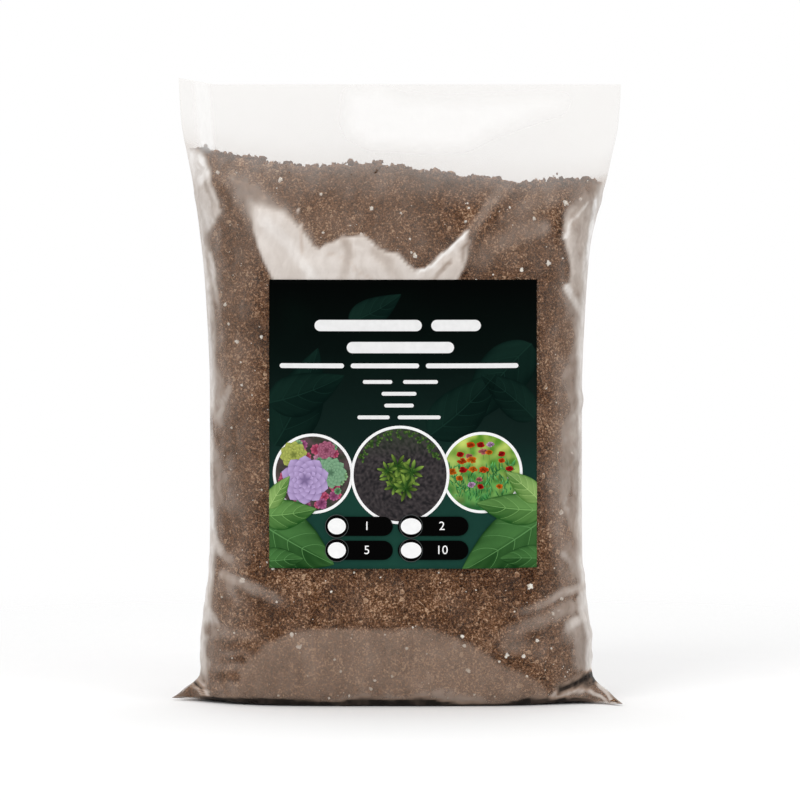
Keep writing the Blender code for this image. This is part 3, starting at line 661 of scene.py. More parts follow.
def film_material():
    """Clear film: see-through with a weak gloss where it lies on the filling, milky elsewhere.

    Crumpled places are broken into flat facets, each a little more or less milky and painted a little lighter or
    darker as painted facet highlights. The milky colour itself runs from a painted black shadow to a painted white
    highlight, set by the glow attribute."""
    material, tree = new_material("clear_film")
    veil = attribute(tree, "veil")
    glow = attribute(tree, "glow")
    crumple = attribute(tree, "crumple")
    place = node(tree, "ShaderNodeTexCoord").outputs["Object"]
    drift = node(tree, "ShaderNodeTexNoise", {"Vector": place, "Scale": 60.0, "Detail": 3.0}).outputs["Color"]
    warped = node(tree, "ShaderNodeVectorMath", {0: drift, 1: (0.016, 0.016, 0.016)}, operation="MULTIPLY")
    warped = node(tree, "ShaderNodeVectorMath", {0: place, 1: warped.outputs[0]}, operation="ADD")
    slanted = node(
        tree,
        "ShaderNodeMapping",
        {"Vector": warped.outputs[0], "Rotation": (0.0, 0.5, 0.0), "Scale": (1.0, 1.0, 0.42)},
    ).outputs[0]
    facets = node(
        tree, "ShaderNodeTexVoronoi", {"Vector": slanted, "Scale": 95.0, "Smoothness": 0.35}, feature="SMOOTH_F1"
    )
    facet = node(tree, "ShaderNodeSeparateColor", {"Color": facets.outputs["Color"]}).outputs[0]
    facet = math_node(tree, "SUBTRACT", facet, 0.5)
    streaks = node(tree, "ShaderNodeTexNoise", {"Vector": slanted, "Scale": 170.0, "Detail": 5.0}).outputs["Fac"]
    streak = math_node(tree, "SUBTRACT", streaks, 0.5)
    cloud = node(tree, "ShaderNodeTexNoise", {"Vector": place, "Scale": 30.0, "Detail": 3.0}).outputs["Fac"]
    change = math_node(tree, "MULTIPLY", streak, 1.2)
    change = math_node(tree, "MULTIPLY_ADD", math_node(tree, "SUBTRACT", cloud, 0.5), 0.9, change)
    change = math_node(tree, "MULTIPLY_ADD", facet, 0.30, change)
    change = math_node(tree, "MULTIPLY_ADD", change, crumple, 1.0)
    veil = math_node(tree, "MULTIPLY", veil, change, clamp=True)
    # painted facet highlights: crumpled facets and streaks shift the milky colour lighter or darker
    shine = math_node(tree, "MULTIPLY_ADD", facet, 0.22, math_node(tree, "MULTIPLY", streak, 0.55))
    light = math_node(tree, "MULTIPLY_ADD", shine, crumple, glow)
    light = math_node(tree, "ADD", light, 0.0, clamp=True)
    # the milky colour runs from black for painted shadow, through a brown haze over the filling, to white for painted
    # highlights and reflections
    milky = ramp(
        tree,
        light,
        (
            (0.0, (0.010, 0.006, 0.004)),
            (0.40, (0.415, 0.298, 0.228)),
            (0.70, (0.715, 0.635, 0.575)),
            (1.0, (1.0, 0.99, 0.98)),
        ),
    )
    crinkle = node(tree, "ShaderNodeTexNoise", {"Vector": slanted, "Scale": 300.0, "Detail": 3.0}).outputs["Fac"]
    bump = node(
        tree, "ShaderNodeBump", {"Strength": 0.15, "Distance": 0.0004, "Height": crinkle}
    ).outputs["Normal"]
    clear = node(tree, "ShaderNodeBsdfTransparent", {"Color": (0.990, 0.987, 0.982, 1.0)})
    gloss = node(tree, "ShaderNodeBsdfGlossy", {"Color": (1.0, 1.0, 1.0, 1.0), "Roughness": 0.14, "Normal": bump})
    edge = node(tree, "ShaderNodeFresnel", {"IOR": 1.13, "Normal": bump}).outputs[0]
    edge = math_node(tree, "MINIMUM", edge, 0.14)
    sheet = node(tree, "ShaderNodeMixShader", {0: edge, 1: clear.outputs[0], 2: gloss.outputs[0]})
    haze = node(
        tree,
        "ShaderNodeBsdfPrincipled",
        {"Base Color": milky, "Roughness": 0.5, "Specular IOR Level": 0.15, "Normal": bump},
    )
    shown = node(tree, "ShaderNodeMixShader", {0: veil, 1: sheet.outputs[0], 2: haze.outputs[0]})
    finish_surface(tree, shown.outputs[0])
    return material


def earth_material(name, earth, tone, scale, contrast, fibre, relief):
    material, tree = new_material(name)
    look = use_group(tree, earth, Tone=tone(tree), Crumb_Scale=scale, Contrast=contrast, Fibre_Amount=fibre)
    bump = node(
        tree, "ShaderNodeBump", {"Strength": 0.9, "Distance": relief, "Height": look.outputs["Height"]}
    ).outputs["Normal"]
    shader = node(
        tree,
        "ShaderNodeBsdfPrincipled",
        {
            "Base Color": look.outputs["Color"],
            "Roughness": look.outputs["Roughness"],
            "Normal": bump,
            "Specular IOR Level": 0.12,
        },
    )
    finish_surface(tree, shader.outputs[0])
    return material


def perlite_material():
    """Puffed white mineral with pores and a little brown dust."""
    material, tree = new_material("perlite")
    place = node(tree, "ShaderNodeTexCoord").outputs["Object"]
    pores = node(tree, "ShaderNodeTexVoronoi", {"Vector": place, "Scale": 1500.0}).outputs["Distance"]
    dust = node(tree, "ShaderNodeTexNoise", {"Vector": place, "Scale": 420.0, "Detail": 3.0}).outputs["Fac"]
    colour = ramp(
        tree, dust, ((0.38, (1.0, 0.98, 0.93)), (0.62, (0.94, 0.89, 0.79)), (0.84, (0.55, 0.42, 0.30)))
    )
    bump = node(tree, "ShaderNodeBump", {"Strength": 0.7, "Distance": 0.0003, "Height": pores}).outputs["Normal"]
    shader = node(
        tree, "ShaderNodeBsdfPrincipled", {"Base Color": colour, "Roughness": 0.8, "Normal": bump}
    )
    finish_surface(tree, shader.outputs[0])
    return material


def label_material(paper):
    """The print's ground: near black at the top, deep green at the foot, with faint foliage."""
    material, tree = new_material("label_ground")
    place = node(tree, "ShaderNodeUVMap", uv_map="sheet").outputs[0]
    up = node(tree, "ShaderNodeSeparateXYZ", {"Vector": place}).outputs["Y"]
    ground = ramp(
        tree,
        up,
        (
            (0.0, (0.011, 0.052, 0.038)),
            (0.25, (0.010, 0.043, 0.032)),
            (0.45, (0.006, 0.017, 0.014)),
            (0.75, (0.0018, 0.0046, 0.0038)),
            (1.0, (0.0004, 0.0007, 0.0006)),
        ),
    )
    glade = node(tree, "ShaderNodeTexNoise", {"Vector": place, "Scale": 3.2, "Detail": 2.0}).outputs["Fac"]
    glade = math_node(tree, "MULTIPLY", math_node(tree, "SUBTRACT", glade, 0.50), 1.2, clamp=True)
    glade = math_node(tree, "MULTIPLY", glade, math_node(tree, "SUBTRACT", 1.0, up, clamp=True))
    colour = mix_colour(tree, glade, ground, (0.008, 0.044, 0.026, 1.0), "ADD")
    look = use_group(tree, paper, Color=colour)
    bump = node(
        tree, "ShaderNodeBump", {"Strength": 0.15, "Distance": 0.00005, "Height": look.outputs["Height"]}
    ).outputs["Normal"]
    shader = node(
        tree,
        "ShaderNodeBsdfPrincipled",
        {
            "Base Color": look.outputs["Color"],
            "Roughness": look.outputs["Roughness"],
            "Normal": bump,
            "Specular IOR Level": 0.01,
        },
    )
    finish_surface(tree, shader.outputs[0])
    return material


def print_material(paper):
    """The coloured shapes of the print."""
    material, tree = new_material("label_print")
    look = use_group(tree, paper, Color=attribute(tree, "ink", "Color"))
    bump = node(
        tree, "ShaderNodeBump", {"Strength": 0.15, "Distance": 0.00005, "Height": look.outputs["Height"]}
    ).outputs["Normal"]
    shader = node(
        tree,
        "ShaderNodeBsdfPrincipled",
        {
            "Base Color": look.outputs["Color"],
            "Roughness": look.outputs["Roughness"],
            "Normal": bump,
            "Specular IOR Level": 0.01,
        },
    )
    finish_surface(tree, shader.outputs[0])
    return material


# The film

FILM_COLUMNS = 190
FILM_ROW_SPACING = 2.1 * MM


def label_margin(x, z):
    """Distance from the label's edge, below 0 under the label."""
    dx = np.abs(x - LABEL_CENTRE_X) - 0.5 * LABEL_WIDTH
    dz = np.abs(z - LABEL_BOTTOM - 0.5 * LABEL_HEIGHT) - 0.5 * LABEL_HEIGHT
    return np.maximum(dx, dz)


def lay_over(values, mask, target):
    return values + mask * (target - values)


def film_looks(share, side, number, x, z):
    """Milkiness, brightness, crumple and lift of the film, from its pockets, streaks and top. The brightness is
    painted light: painted highlights, reflections and a painted contact shadow.
    """
    count = len(x)
    front = side < 0
    place = np.stack((np.where(front, x, -x), z), -1) / MM
    turned = np.stack((x, side * 0.02, z), -1)
    wobble = np.stack((uneven(turned, 14 * MM, 1.0), uneven(turned, 14 * MM, 2.0)), -1)
    fine = np.stack((uneven(turned, 4 * MM, 7.0, 2), uneven(turned, 4 * MM, 8.0, 2)), -1)
    still = place
    steady = still + 0.5 * wobble + 0.1 * fine
    place = place + 1.4 * wobble + 0.5 * fine
    away_from_label = smooth(past(label_margin(x, z), 2 * MM, 20 * MM))
    low = past(z, 120 * MM, 90 * MM) * past(np.abs(x), 110 * MM, 90 * MM)
    clearer = past(z, 290 * MM, 318 * MM) * past(x * np.where(front, 1.0, -1.0), 10 * MM, 50 * MM)
    haze = 0.24 * (0.3 + 0.7 * away_from_label) * (1 - 0.85 * low) * (1 - 0.95 * clearer) + 0.06 * wobble[:, 0]
    veil = np.clip(haze, 0.0, 0.4)
    glow = np.full(count, 0.41)
    lift = np.zeros(count)
    crumple = 0.26 + 0.26 * smooth(past(np.abs(share), 0.74, 0.94))
    # pockets lay milkiness and painted brightness over the film
    for name, (outline, soft, milky, bright, height) in AIR_POCKETS.items():
        blur = soft + (6.0 * past(place[:, 1], 318.0, 345.0) if name in SOFT_TOPS else 0.0)
        spot = steady if name in FRONT_POCKETS else place
        mask = smooth(past(inside_outline(spot, outline) / blur, 1.0, -1.0))
        if name in FRONT_POCKETS:
            mask = mask * front
        veil, glow = lay_over(veil, mask, milky), lay_over(glow, mask, bright)
        lift = np.maximum(lift, mask * height * MM)
    over_label = smooth(past(inside_outline(place, AIR_POCKETS["over_label"][0]), 2, -4)) * front
    crumple = crumple + over_label * (0.20 - crumple)
    rim = rim_height(share) + HEAP_RISE * 0.5
    near_top = smooth(past(z, rim - 22 * MM, rim - 2 * MM))
    veil, glow = lay_over(veil, 0.7 * near_top, 0.34), lay_over(glow, near_top, 0.52)
    # a pale milky band along both side creases: partly film that stands off, partly a painted reflection on the film
    # seen edge-on
    edge = smooth(past(np.abs(share), 0.945, 0.99)) * past(z, 14 * MM, 26 * MM)
    veil, glow = lay_over(veil, edge, 0.70), lay_over(glow, edge, 0.76)
    # streaks: painted highlights on the ridges, painted shade in the dark creases, and a real lift
    for line, width, milky, bright, height in STREAKS:
        away, along = distance_to_line(place, line)
        taper = np.sqrt(np.clip(1.02 - along, 0, 1))
        mask = smooth(past(away, width * 0.95, 0.20 * width)) * np.where(milky > 0.8, 1.0, taper)
        if min(height for _, height in line) > FRONT_STREAKS_ABOVE:
            mask = mask * front
        veil, glow = lay_over(veil, mask, milky), lay_over(glow, mask, bright)
        lift = np.maximum(lift, mask * height * MM)
    free = smooth(past(z, rim - 4 * MM, rim + 6 * MM))
    open_top = smooth(past(z, rim, rim + 24 * MM))
    veil, glow = lay_over(veil, free, 0.24), lay_over(glow, free, 0.79 + 0.14 * open_top)
    # painted reflection: a white gleam across the empty top of the front film
    off_gleam = np.where(front, inside_outline(still, TOP_GLEAM), 99.0)
    gleam = free * smooth(past(off_gleam, 8.0, -8.0))
    veil, glow = lay_over(veil, gleam, 0.54), lay_over(glow, gleam, 1.0)
    # painted highlight: the upright fold at the top left drawn white
    off_fold, _ = distance_to_line(still, TOP_FOLD)
    fold = front * free * smooth(past(off_fold, 7.0, 3.0))
    veil, glow = lay_over(veil, fold, 0.42), lay_over(glow, fold, 1.0)
    ear = past(z, 20 * MM, 12 * MM) * smooth(past(np.abs(x), 122 * MM, 130 * MM))
    veil, glow = lay_over(veil, ear, 0.26), lay_over(glow, ear, 0.42)
    tip = past(z, 10 * MM, 7 * MM) * smooth(past(np.abs(x), 139 * MM, 145 * MM))
    veil, glow = lay_over(veil, tip, 0.80), lay_over(glow, tip, 0.27)
    # the lower corners' streaks again on top: painted pale fold lines and painted dark crease shade
    for line, width, milky, bright, height in STREAKS[-9:]:
        away, along = distance_to_line(place, line)
        mask = smooth(past(away, width * 0.75, 0.15 * width))
        veil, glow = lay_over(veil, mask, milky), lay_over(glow, mask, bright)
    # painted shadow: a black band along the foot of the film, for the contact shadow where the bag turns under onto
    # the floor
    swell = np.clip(uneven(turned, 46 * MM, 6.0, 2), -0.35, 0.5)
    shade = smooth(past(z, (4.4 + 4.6 * swell) * MM, (3.2 + 4.6 * swell) * MM)) * past(np.abs(x), 136 * MM, 126 * MM)
    veil, glow = lay_over(veil, shade, 1.0), lay_over(glow, shade, 0.0)
    crumple = crumple * (1 - 0.93 * free)
    lift = lift * (1 - smooth(past(np.abs(share), 0.90, 0.99)))
    return veil, glow, crumple, lift, free


def build_film():
    share, side = ring_shares(FILM_COLUMNS)
    base = np.linspace(0, BASE_SECTIONS, 14)[:-1]
    numbers = np.concatenate((base, rows_along_profile(FILM_ROW_SPACING, BASE_SECTIONS, len(SECTIONS) - 1)))
    around, rows = len(share), len(numbers)
    s = np.tile(share, rows)
    d = np.tile(side, rows)
    n = np.repeat(numbers, around)
    points = tube_point(s, d, n, inset=FILM_INSET)
    out = outward(s, d, n)
    x, z = points[:, 0], points[:, 2]
    veil, glow, crumple, lift, free = film_looks(s, d, n, x, z)
    calm = smooth(past(label_margin(x, z), 1.0 * MM, 9 * MM))
    calm = np.where(d > 0, 1.0, calm)
    upright = (n > BASE_SECTIONS) & (n < len(SECTIONS) - 1)
    folds = np.where(upright, fold_height(s, d, z), 0.0) * np.where(s < 0, 0.55, 1.0)
    folds = folds * (1 - 0.65 * smooth(past(np.abs(s), 0.88, 0.97)))
    crinkle = uneven(np.stack((x, d * 0.03, z * 0.45), -1), 9 * MM, 5.0, 4)
    slanted = np.stack((x + 0.6 * z, d * 0.05, z * 0.7 - 0.3 * x), -1)
    ridged = 1.0 - 2.0 * np.abs(uneven(slanted, 17 * MM, 9.0, 3))
    slack = 0.25 + 0.45 * smooth(past(np.abs(s), 0.72, 0.97)) + 0.8 * free
    ripple = slack * (0.35 * np.clip(crinkle, -0.5, 1.0) + 0.45 * np.clip(ridged - 0.35, 0, 1)) * MM
    mouth = past(n, len(SECTIONS) - 1, len(SECTIONS) - 2.2)
    ripple = ripple * np.where(upright, 1.0, 0.0) * (0.25 + 0.75 * mouth)
    ripple = np.where(free < 0.02, np.maximum(ripple, 0.0), ripple)
    ripple = ripple * (1 - (0.85 + 0.12 * free) * smooth(past(np.abs(s), 0.92, 0.995)))
    points = points + out * (calm * (lift + folds + ripple))[:, None]
    faces = ring_faces(rows, around)
    half = np.arange(FILM_COLUMNS)
    weld = np.stack((-half % around, -(half + 1) % around, half + 1, half), -1)[1:-1]
    faces = np.concatenate((faces, weld))
    data = mesh_from("film", points, faces, {"veil": veil, "glow": glow, "crumple": crumple})
    return piece("film", data, film_material(), ["film_bag"])


# The filling

FILL_COLUMNS = 140
FILL_ROW_SPACING = 2.4 * MM


def clod_hollow(share, side, points):
    """How far the loose face sinks between its clods; it stays level where a grain is seated."""
    here = np.stack((points[:, 0], side * CLOD_SPACING, points[:, 2]), -1) / CLOD_SPACING
    hollow = CLOD_DEPTH * past(np.array([noise.noise(Vector(p)) for p in here]), -0.4, 0.4)
    hollow = hollow * past(np.abs(share), 0.97, CLOD_EDGE) * past(points[:, 2], 0.0, EAR_HEIGHT)
    for grain_side, grain_share, height, _ in GRAINS:
        across = points[:, 0] - grain_share * 0.5 * BODY_WIDTH
        away = np.hypot(across, points[:, 2] - height * FILL_HEIGHT)
        calm = past(away, GRAIN_SEAT, 1.4 * GRAIN_SEAT)
        hollow = np.where(side == grain_side, hollow * calm, hollow)
    return hollow


def fill_point(share, side, number, inset=FILL_INSET):
    points = tube_point(share, side, number, inset, CREASE_CLEARANCE, EAR_TIP_FREE)
    return points - outward(share, side, number) * clod_hollow(share, side, points)[:, None]


def crumb_relief(points, seed=3.0):
    """How deep the loose face of the filling drops behind the film, 0 to 1."""
    coarse = uneven(points, 5.2 * MM, seed, 2)
    fine = uneven(points, 1.9 * MM, seed + 1, 2)
    return np.clip(0.5 + 0.55 * coarse + 0.45 * fine, 0.0, 1.0)


def build_fill(material):
    share, side = ring_shares(FILL_COLUMNS)
    around = len(share)
    rim = rim_height(share)
    start = 0.80 * FILL_HEIGHT
    lower = rows_along_profile(FILL_ROW_SPACING, 0.25, float(number_at_height(start)))
    n_low = np.repeat(lower, around).reshape(-1, around)
    steps = np.linspace(0, 1, int((FILL_HEIGHT - start) / FILL_ROW_SPACING))[1:]
    jag = heap_lumps(share * 0.5 * BODY_WIDTH, np.zeros(around))
    jag = jag + 1.2 * MM * uneven(np.stack((share * 0.13, side * 0.02, share * 0), -1), 4 * MM, 4.0, 3)
    n_high = number_at_height(start + steps[:, None] * (rim + jag - start)[None, :])
    n = np.concatenate((n_low, n_high))
    rows = len(n)
    s = np.tile(share, rows)
    d = np.tile(side, rows)
    points = fill_point(s, d, n.ravel())
    out = outward(s, d, n.ravel())
    relief = crumb_relief(points)
    calm = (1 - 0.6 * smooth(past(np.abs(s), 0.93, 1.0))) * past(n.ravel(), 0.0, 1.0)
    points = points - out * (1.5 * MM * relief * calm)[:, None]
    faces = ring_faces(rows, around)
    half = np.arange(FILL_COLUMNS)
    weld = np.stack((-half % around, -(half + 1) % around, half + 1, half), -1)[1:-1]
    top, top_faces = heap_top(points[-around:], (rows - 1) * around, len(points))
    points = np.concatenate((points, top))
    faces = np.concatenate((faces, weld, top_faces))
    data = mesh_from("substrate", points, faces)
    return piece("substrate", data, material, ["substrate_fill"])


HEAP_LINES = 30


def heap_top(rim, first, next_free):
    """Points and faces of the heap, in lines from the front rim to the back rim."""
    around = len(rim)
    columns = around // 2
    across = np.arange(1, HEAP_LINES) / HEAP_LINES
    made = []
    index = np.zeros((columns + 1, HEAP_LINES + 1), int)
    count = next_free
    for i in range(columns + 1):
        front, back = i, -i % around
        index[i, 0], index[i, -1] = first + front, first + back
        if i in (0, columns):
            index[i, :] = first + front
            continue
        line = rim[front] + across[:, None] * (rim[back] - rim[front])
        hump = 1.0 - (2.0 * across - 1.0) ** 2
        narrow = min(1.0, np.linalg.norm(rim[back] - rim[front]) / (0.3 * BODY_DEPTH))
        rough = uneven(line, 4 * MM, 6.0, 3) * 1.4 * MM
        lumps = heap_lumps(line[:, 0], line[:, 1])
        line[:, 2] += narrow * (HEAP_RISE * hump + lumps + rough * np.sqrt(hump))
        made.append(line)
        index[i, 1:-1] = np.arange(count, count + HEAP_LINES - 1)
        count += HEAP_LINES - 1
    a, b = index[:-1, :-1], index[1:, :-1]
    c, e = index[1:, 1:], index[:-1, 1:]
    faces = np.stack((a, b, c, e), -1).reshape(-1, 4)
    keep = [len(set(face)) == 4 for face in faces.tolist()]
    return np.concatenate(made), faces[keep]


# Loose bits

CRUMB_SHAPE_COUNT = 7


def ball(subdivisions):
    """Points and triangles of a round ball, radius 1."""
    import bmesh

    mesh = bmesh.new()
    bmesh.ops.create_icosphere(mesh, subdivisions=subdivisions, radius=1.0)
    points = np.array([v.co[:] for v in mesh.verts])
    faces = np.array([[v.index for v in f.verts] for f in mesh.faces])
    mesh.free()
    return points, faces


def random_turns(rng, count):
    """Random rotation matrices."""
    q = rng.normal(size=(count, 4))
    q /= np.linalg.norm(q, axis=1, keepdims=True)
    w, x, y, z = q.T
    return np.stack(
        (
            np.stack((1 - 2 * (y * y + z * z), 2 * (x * y - w * z), 2 * (x * z + w * y)), -1),
            np.stack((2 * (x * y + w * z), 1 - 2 * (x * x + z * z), 2 * (y * z - w * x)), -1),
            np.stack((2 * (x * z - w * y), 2 * (y * z + w * x), 1 - 2 * (x * x + y * y)), -1),
        ),
        1,
    )


def scatter_on_fill(rng, count, low=4 * MM, front_share=0.6):
    """Random places on the upright face of the filling: share, side, section number."""
    side = np.where(rng.random(count) < front_share, -1.0, 1.0)
    share = np.sin(np.pi * 0.5 * (2 * rng.random(count) - 1) * 0.985)
    share = np.where(rng.random(count) < 0.5, share, 0.94 * (2 * rng.random(count) - 1))
    height = low + rng.random(count) * (rim_height(share) - 1.5 * MM - low)
    return share, side, number_at_height(height)


def scattered_shapes(rng, centres, radii, squash, subdivisions=1):
    """Small uneven lumps at the centres, each turned and stretched its own way."""
    base, base_faces = ball(subdivisions)
    shapes = []
    for k in range(CRUMB_SHAPE_COUNT):
        bumps = np.array([noise.noise(Vector(p) * 1.4 + Vector((k * 5.1, 0, 0))) for p in base])
        shapes.append(base * (0.86 + 0.42 * bumps[:, None]))
    shapes = np.array(shapes)
    count = len(centres)
    turns = random_turns(rng, count)
    stretch = 1.0 + squash * (2 * rng.random((count, 3)) - 1)
    local = shapes[rng.integers(0, CRUMB_SHAPE_COUNT, count)] * stretch[:, None, :]
    points = np.einsum("nij,nkj->nki", turns, local) * radii[:, None, None] + centres[:, None, :]
    faces = base_faces[None] + (np.arange(count) * len(base))[:, None, None]
    return points.reshape(-1, 3), faces.reshape(-1, 3), len(base)


def build_crumbs(rng, material):
    count = 8600
    share, side, number = scatter_on_fill(rng, count)
    radii = (0.55 + 1.1 * rng.random(count) ** 2.2) * MM
    out = outward(share, side, number)
    centres = fill_point(share, side, number) - out * (0.95 * radii)[:, None]
    points, faces, each = scattered_shapes(rng, centres, radii, 0.35)
    tone = np.repeat(0.10 + 0.62 * rng.random(count) ** 1.5, each)
    data = mesh_from("crumbs", points, faces, {"tone": tone}, smooth_faces=True)
    return piece("crumbs", data, material)


def build_chips(rng, material):
    """Flat pale flakes of bark and husk that lie against the film."""
    count = 1900
    share, side, number = scatter_on_fill(rng, count)
    radii = (1.05 + 1.6 * rng.random(count) ** 2.4) * MM
    out = outward(share, side, number)
    centres = fill_point(share, side, number) + out * (0.20 * MM)
    base, base_faces = ball(2)
    bumps = np.array([noise.noise(Vector(p) * 1.6) for p in base])
    base = base * (0.85 + 0.5 * bumps[:, None])
    up = np.tile((0.0, 0.0, 1.0), (count, 1))
    along = np.cross(out, up)
    turn = rng.random(count) * 2 * np.pi
    first = np.cos(turn)[:, None] * along + np.sin(turn)[:, None] * up
    second = np.cross(out, first)
    long, wide = radii, radii * (0.35 + 0.45 * rng.random(count))
    points = (
        centres[:, None, :]
        + (base[None, :, 0] * long[:, None])[..., None] * first[:, None, :]
        + (base[None, :, 1] * wide[:, None])[..., None] * second[:, None, :]
        + (base[None, :, 2] * 0.28 * MM)[..., None] * out[:, None, :]
    )
    faces = base_faces[None] + (np.arange(count) * len(base))[:, None, None]
    middle = 1.0 - np.hypot(base[:, 0], base[:, 1]) / np.hypot(base[:, 0], base[:, 1]).max()
    tone = (0.64 + 0.34 * rng.random(count)[:, None] - 0.24 * smooth(middle)[None, :]).ravel()
    data = mesh_from("bark_chips", points.reshape(-1, 3), faces.reshape(-1, 3), {"tone": tone})
    return piece("bark_chips", data, material)


def build_rim_crumbs(rng, material):
    """Clods along the top, which give the filling its ragged outline against the empty film."""
    count = 2600
    share = 0.97 * (2 * rng.random(count) - 1)
    side = np.where(rng.random(count) < 0.62, -1.0, 1.0)
    rim = rim_height(share)
    across = rng.random(count) ** 1.5
    radii = (0.5 + 2.3 * rng.random(count) ** 3.4) * MM
    number = number_at_height(rim - 1.0 * MM)
    edge = fill_point(share, side, number)
    centre = edge.copy()
    centre[:, 1] = (edge[:, 1] - 1.15 * radii * side) * (1.0 - 0.9 * across)
    rise = HEAP_RISE * (1 - (1 - across) ** 2)
    heap = rise * np.minimum(1.0, np.abs(edge[:, 1]) / (0.15 * BODY_DEPTH))
    row = np.stack((centre[:, 0], np.zeros(count), np.zeros(count)), -1)
    mound = 6.0 * MM * np.clip(uneven(row, 9 * MM, 12.0, 3) - 0.02, 0.0, 0.7)
    loose = (0.8 * MM + mound) * rng.random(count) ** 1.6
    centre[:, 2] = rim + heap + heap_lumps(centre[:, 0], centre[:, 1]) + loose
    points, faces, each = scattered_shapes(rng, centre, radii, 0.45)
    tone = np.repeat(0.22 + 0.42 * rng.random(count), each)
    data = mesh_from("rim_crumbs", points, faces, {"tone": tone})
    return piece("rim_crumbs", data, material)


def strands(rng, starts, headings, ups, lengths, widths, segments=4):
    """Thin, slightly curled three-sided fibres."""
    count = len(starts)
    t = np.linspace(0, 1, segments + 1)
    side = np.cross(headings, ups)
    curl = (rng.random((count, 2)) - 0.5) * 2.6
    bend = (t**2 - 0.5 * t)[None, :, None]
    path = (
        starts[:, None, :]
        + headings[:, None, :] * (lengths[:, None] * (t - 0.5))[:, :, None]
        + side[:, None, :] * (curl[:, :1] * lengths[:, None])[:, :, None] * bend
        + ups[:, None, :] * (curl[:, 1:] * lengths[:, None] * 0.25)[:, :, None] * bend
    )
    taper = (0.35 + 0.65 * np.sin(np.pi * np.clip(t, 0.06, 0.94)))[None, :, None, None]
    angles = np.arange(3) * 2 * np.pi / 3
    around = np.cos(angles)[None, None, :, None] * side[:, None, None, :] + np.sin(angles)[None, None, :, None] * ups[:, None, None, :]
    points = path[:, :, None, :] + around * taper * widths[:, None, None, None]
    faces = []
    for k in range(segments):
        for j in range(3):
            a, b = 3 * k + j, 3 * k + (j + 1) % 3
            faces += [(a, b, b + 3), (a, b + 3, a + 3)]
    each = 3 * (segments + 1)
    faces = np.array(faces)[None] + (np.arange(count) * each)[:, None, None]
    return points.reshape(-1, 3), faces.reshape(-1, 3), each


def build_fibres(rng, material):
    """Coir fibres lying in the face of the filling, and a few standing out of the heap."""
    count = 6000
    share, side, number = scatter_on_fill(rng, count)
    out = outward(share, side, number)
    up = np.tile((0.0, 0.0, 1.0), (count, 1))
    along = np.cross(out, up)
    angle = rng.random(count) * np.pi
    heading = np.cos(angle)[:, None] * along + np.sin(angle)[:, None] * up
    starts = fill_point(share, side, number) - out * (0.05 * MM)
    lengths = (1.4 + 4.4 * rng.random(count) ** 2.2) * MM
    widths = (0.13 + 0.20 * rng.random(count) ** 2) * MM
    top = 420
    top_share = 0.95 * (2 * rng.random(top) - 1)
    rim = rim_height(top_share)
    edge = fill_point(top_share, -np.ones(top), number_at_height(rim - MM))
    edge[:, 1] *= 0.9 * rng.random(top)
    edge[:, 2] = rim + HEAP_RISE * 0.70 + heap_lumps(edge[:, 0], edge[:, 1])
    tilt = np.stack((rng.normal(size=top), 0.4 * rng.normal(size=top), 0.3 + rng.random(top)), -1)
    tilt /= np.linalg.norm(tilt, axis=1, keepdims=True)
    flat = np.cross(tilt, np.tile((0.0, 1.0, 0.0), (top, 1)))
    flat /= np.linalg.norm(flat, axis=1, keepdims=True)
    points, faces, each = strands(
        rng,
        np.concatenate((starts, edge)),
        np.concatenate((heading, tilt)),
        np.concatenate((out, flat)),
        np.concatenate((lengths, (1.8 + 4.2 * rng.random(top) ** 1.5) * MM)),
        np.concatenate((widths, np.full(top, 0.16 * MM))),
    )
    tone = 0.50 + 0.54 * rng.random(count + top) ** 1.3
    tone[count:] *= 0.6
    data = mesh_from("coir_fibres", points, faces, {"tone": np.repeat(tone, each)})
    return piece("coir_fibres", data, material)


def build_perlite(rng, material):
    """The small white grains, and the larger ones in the places of the solid model's grains."""
    count = 560
    share, side, number = scatter_on_fill(rng, count, front_share=0.6)
    radii = (0.36 + 1.5 * rng.random(count) ** 3.2) * MM
    out = outward(share, side, number)
    centres = fill_point(share, side, number) - out * (0.62 * radii)[:, None]
    points, faces, _ = scattered_shapes(rng, centres, radii, 0.22, 2)
    data = mesh_from("perlite_fines", points, faces)
    piece("perlite_fines", data, material)
    big = np.array(GRAINS)
    radii = 0.5 * big[:, 3] * MM
    number = number_at_height(big[:, 2] * FILL_HEIGHT)
    out = outward(big[:, 1], big[:, 0], number)
    centres = fill_point(big[:, 1], big[:, 0], number, 0.5 * MM) - out * (0.64 * radii)[:, None]
    for k, centre in enumerate(centres):
        points, faces, _ = scattered_shapes(rng, centre[None], radii[k : k + 1] * 0.95, 0.18, 4)
        rough = uneven(points, 1.1 * MM, k + 11.0, 3)
        away = points - centre
        points = centre + away * (1.0 + 0.22 * rough[:, None])
        name = f"perlite_{k + 1:02d}"
        data = mesh_from(name, points, faces)
        piece(name, data, material, [f"perlite_grain_{k + 1:02d}"])


# The label

LABEL_LIFT = 0.38 * MM
LABEL_THICKNESS = 0.15 * MM
LAYER = 0.02 * MM
LABEL_ASPECT = LABEL_HEIGHT / LABEL_WIDTH


def label_point(u, v, lift):
    """A point over the label: u runs from 0 at its left edge, v from 0 at its foot, both in
    label widths."""
    x = LABEL_CENTRE_X + (u - 0.5) * LABEL_WIDTH
    z = LABEL_BOTTOM + v * LABEL_WIDTH
    number = number_at_height(z)
    half_width = section_at(number)[2]
    share = x / half_width
    side = -np.ones_like(share)
    return tube_point(share, side, number) + outward(share, side, number) * np.asarray(lift)[..., None]


def grid_faces(rows, columns):
    i = np.arange(rows - 1)[:, None] * columns
    j = np.arange(columns - 1)[None, :]
    return np.stack((i + j, i + j + 1, i + columns + j + 1, i + columns + j), -1).reshape(-1, 4)


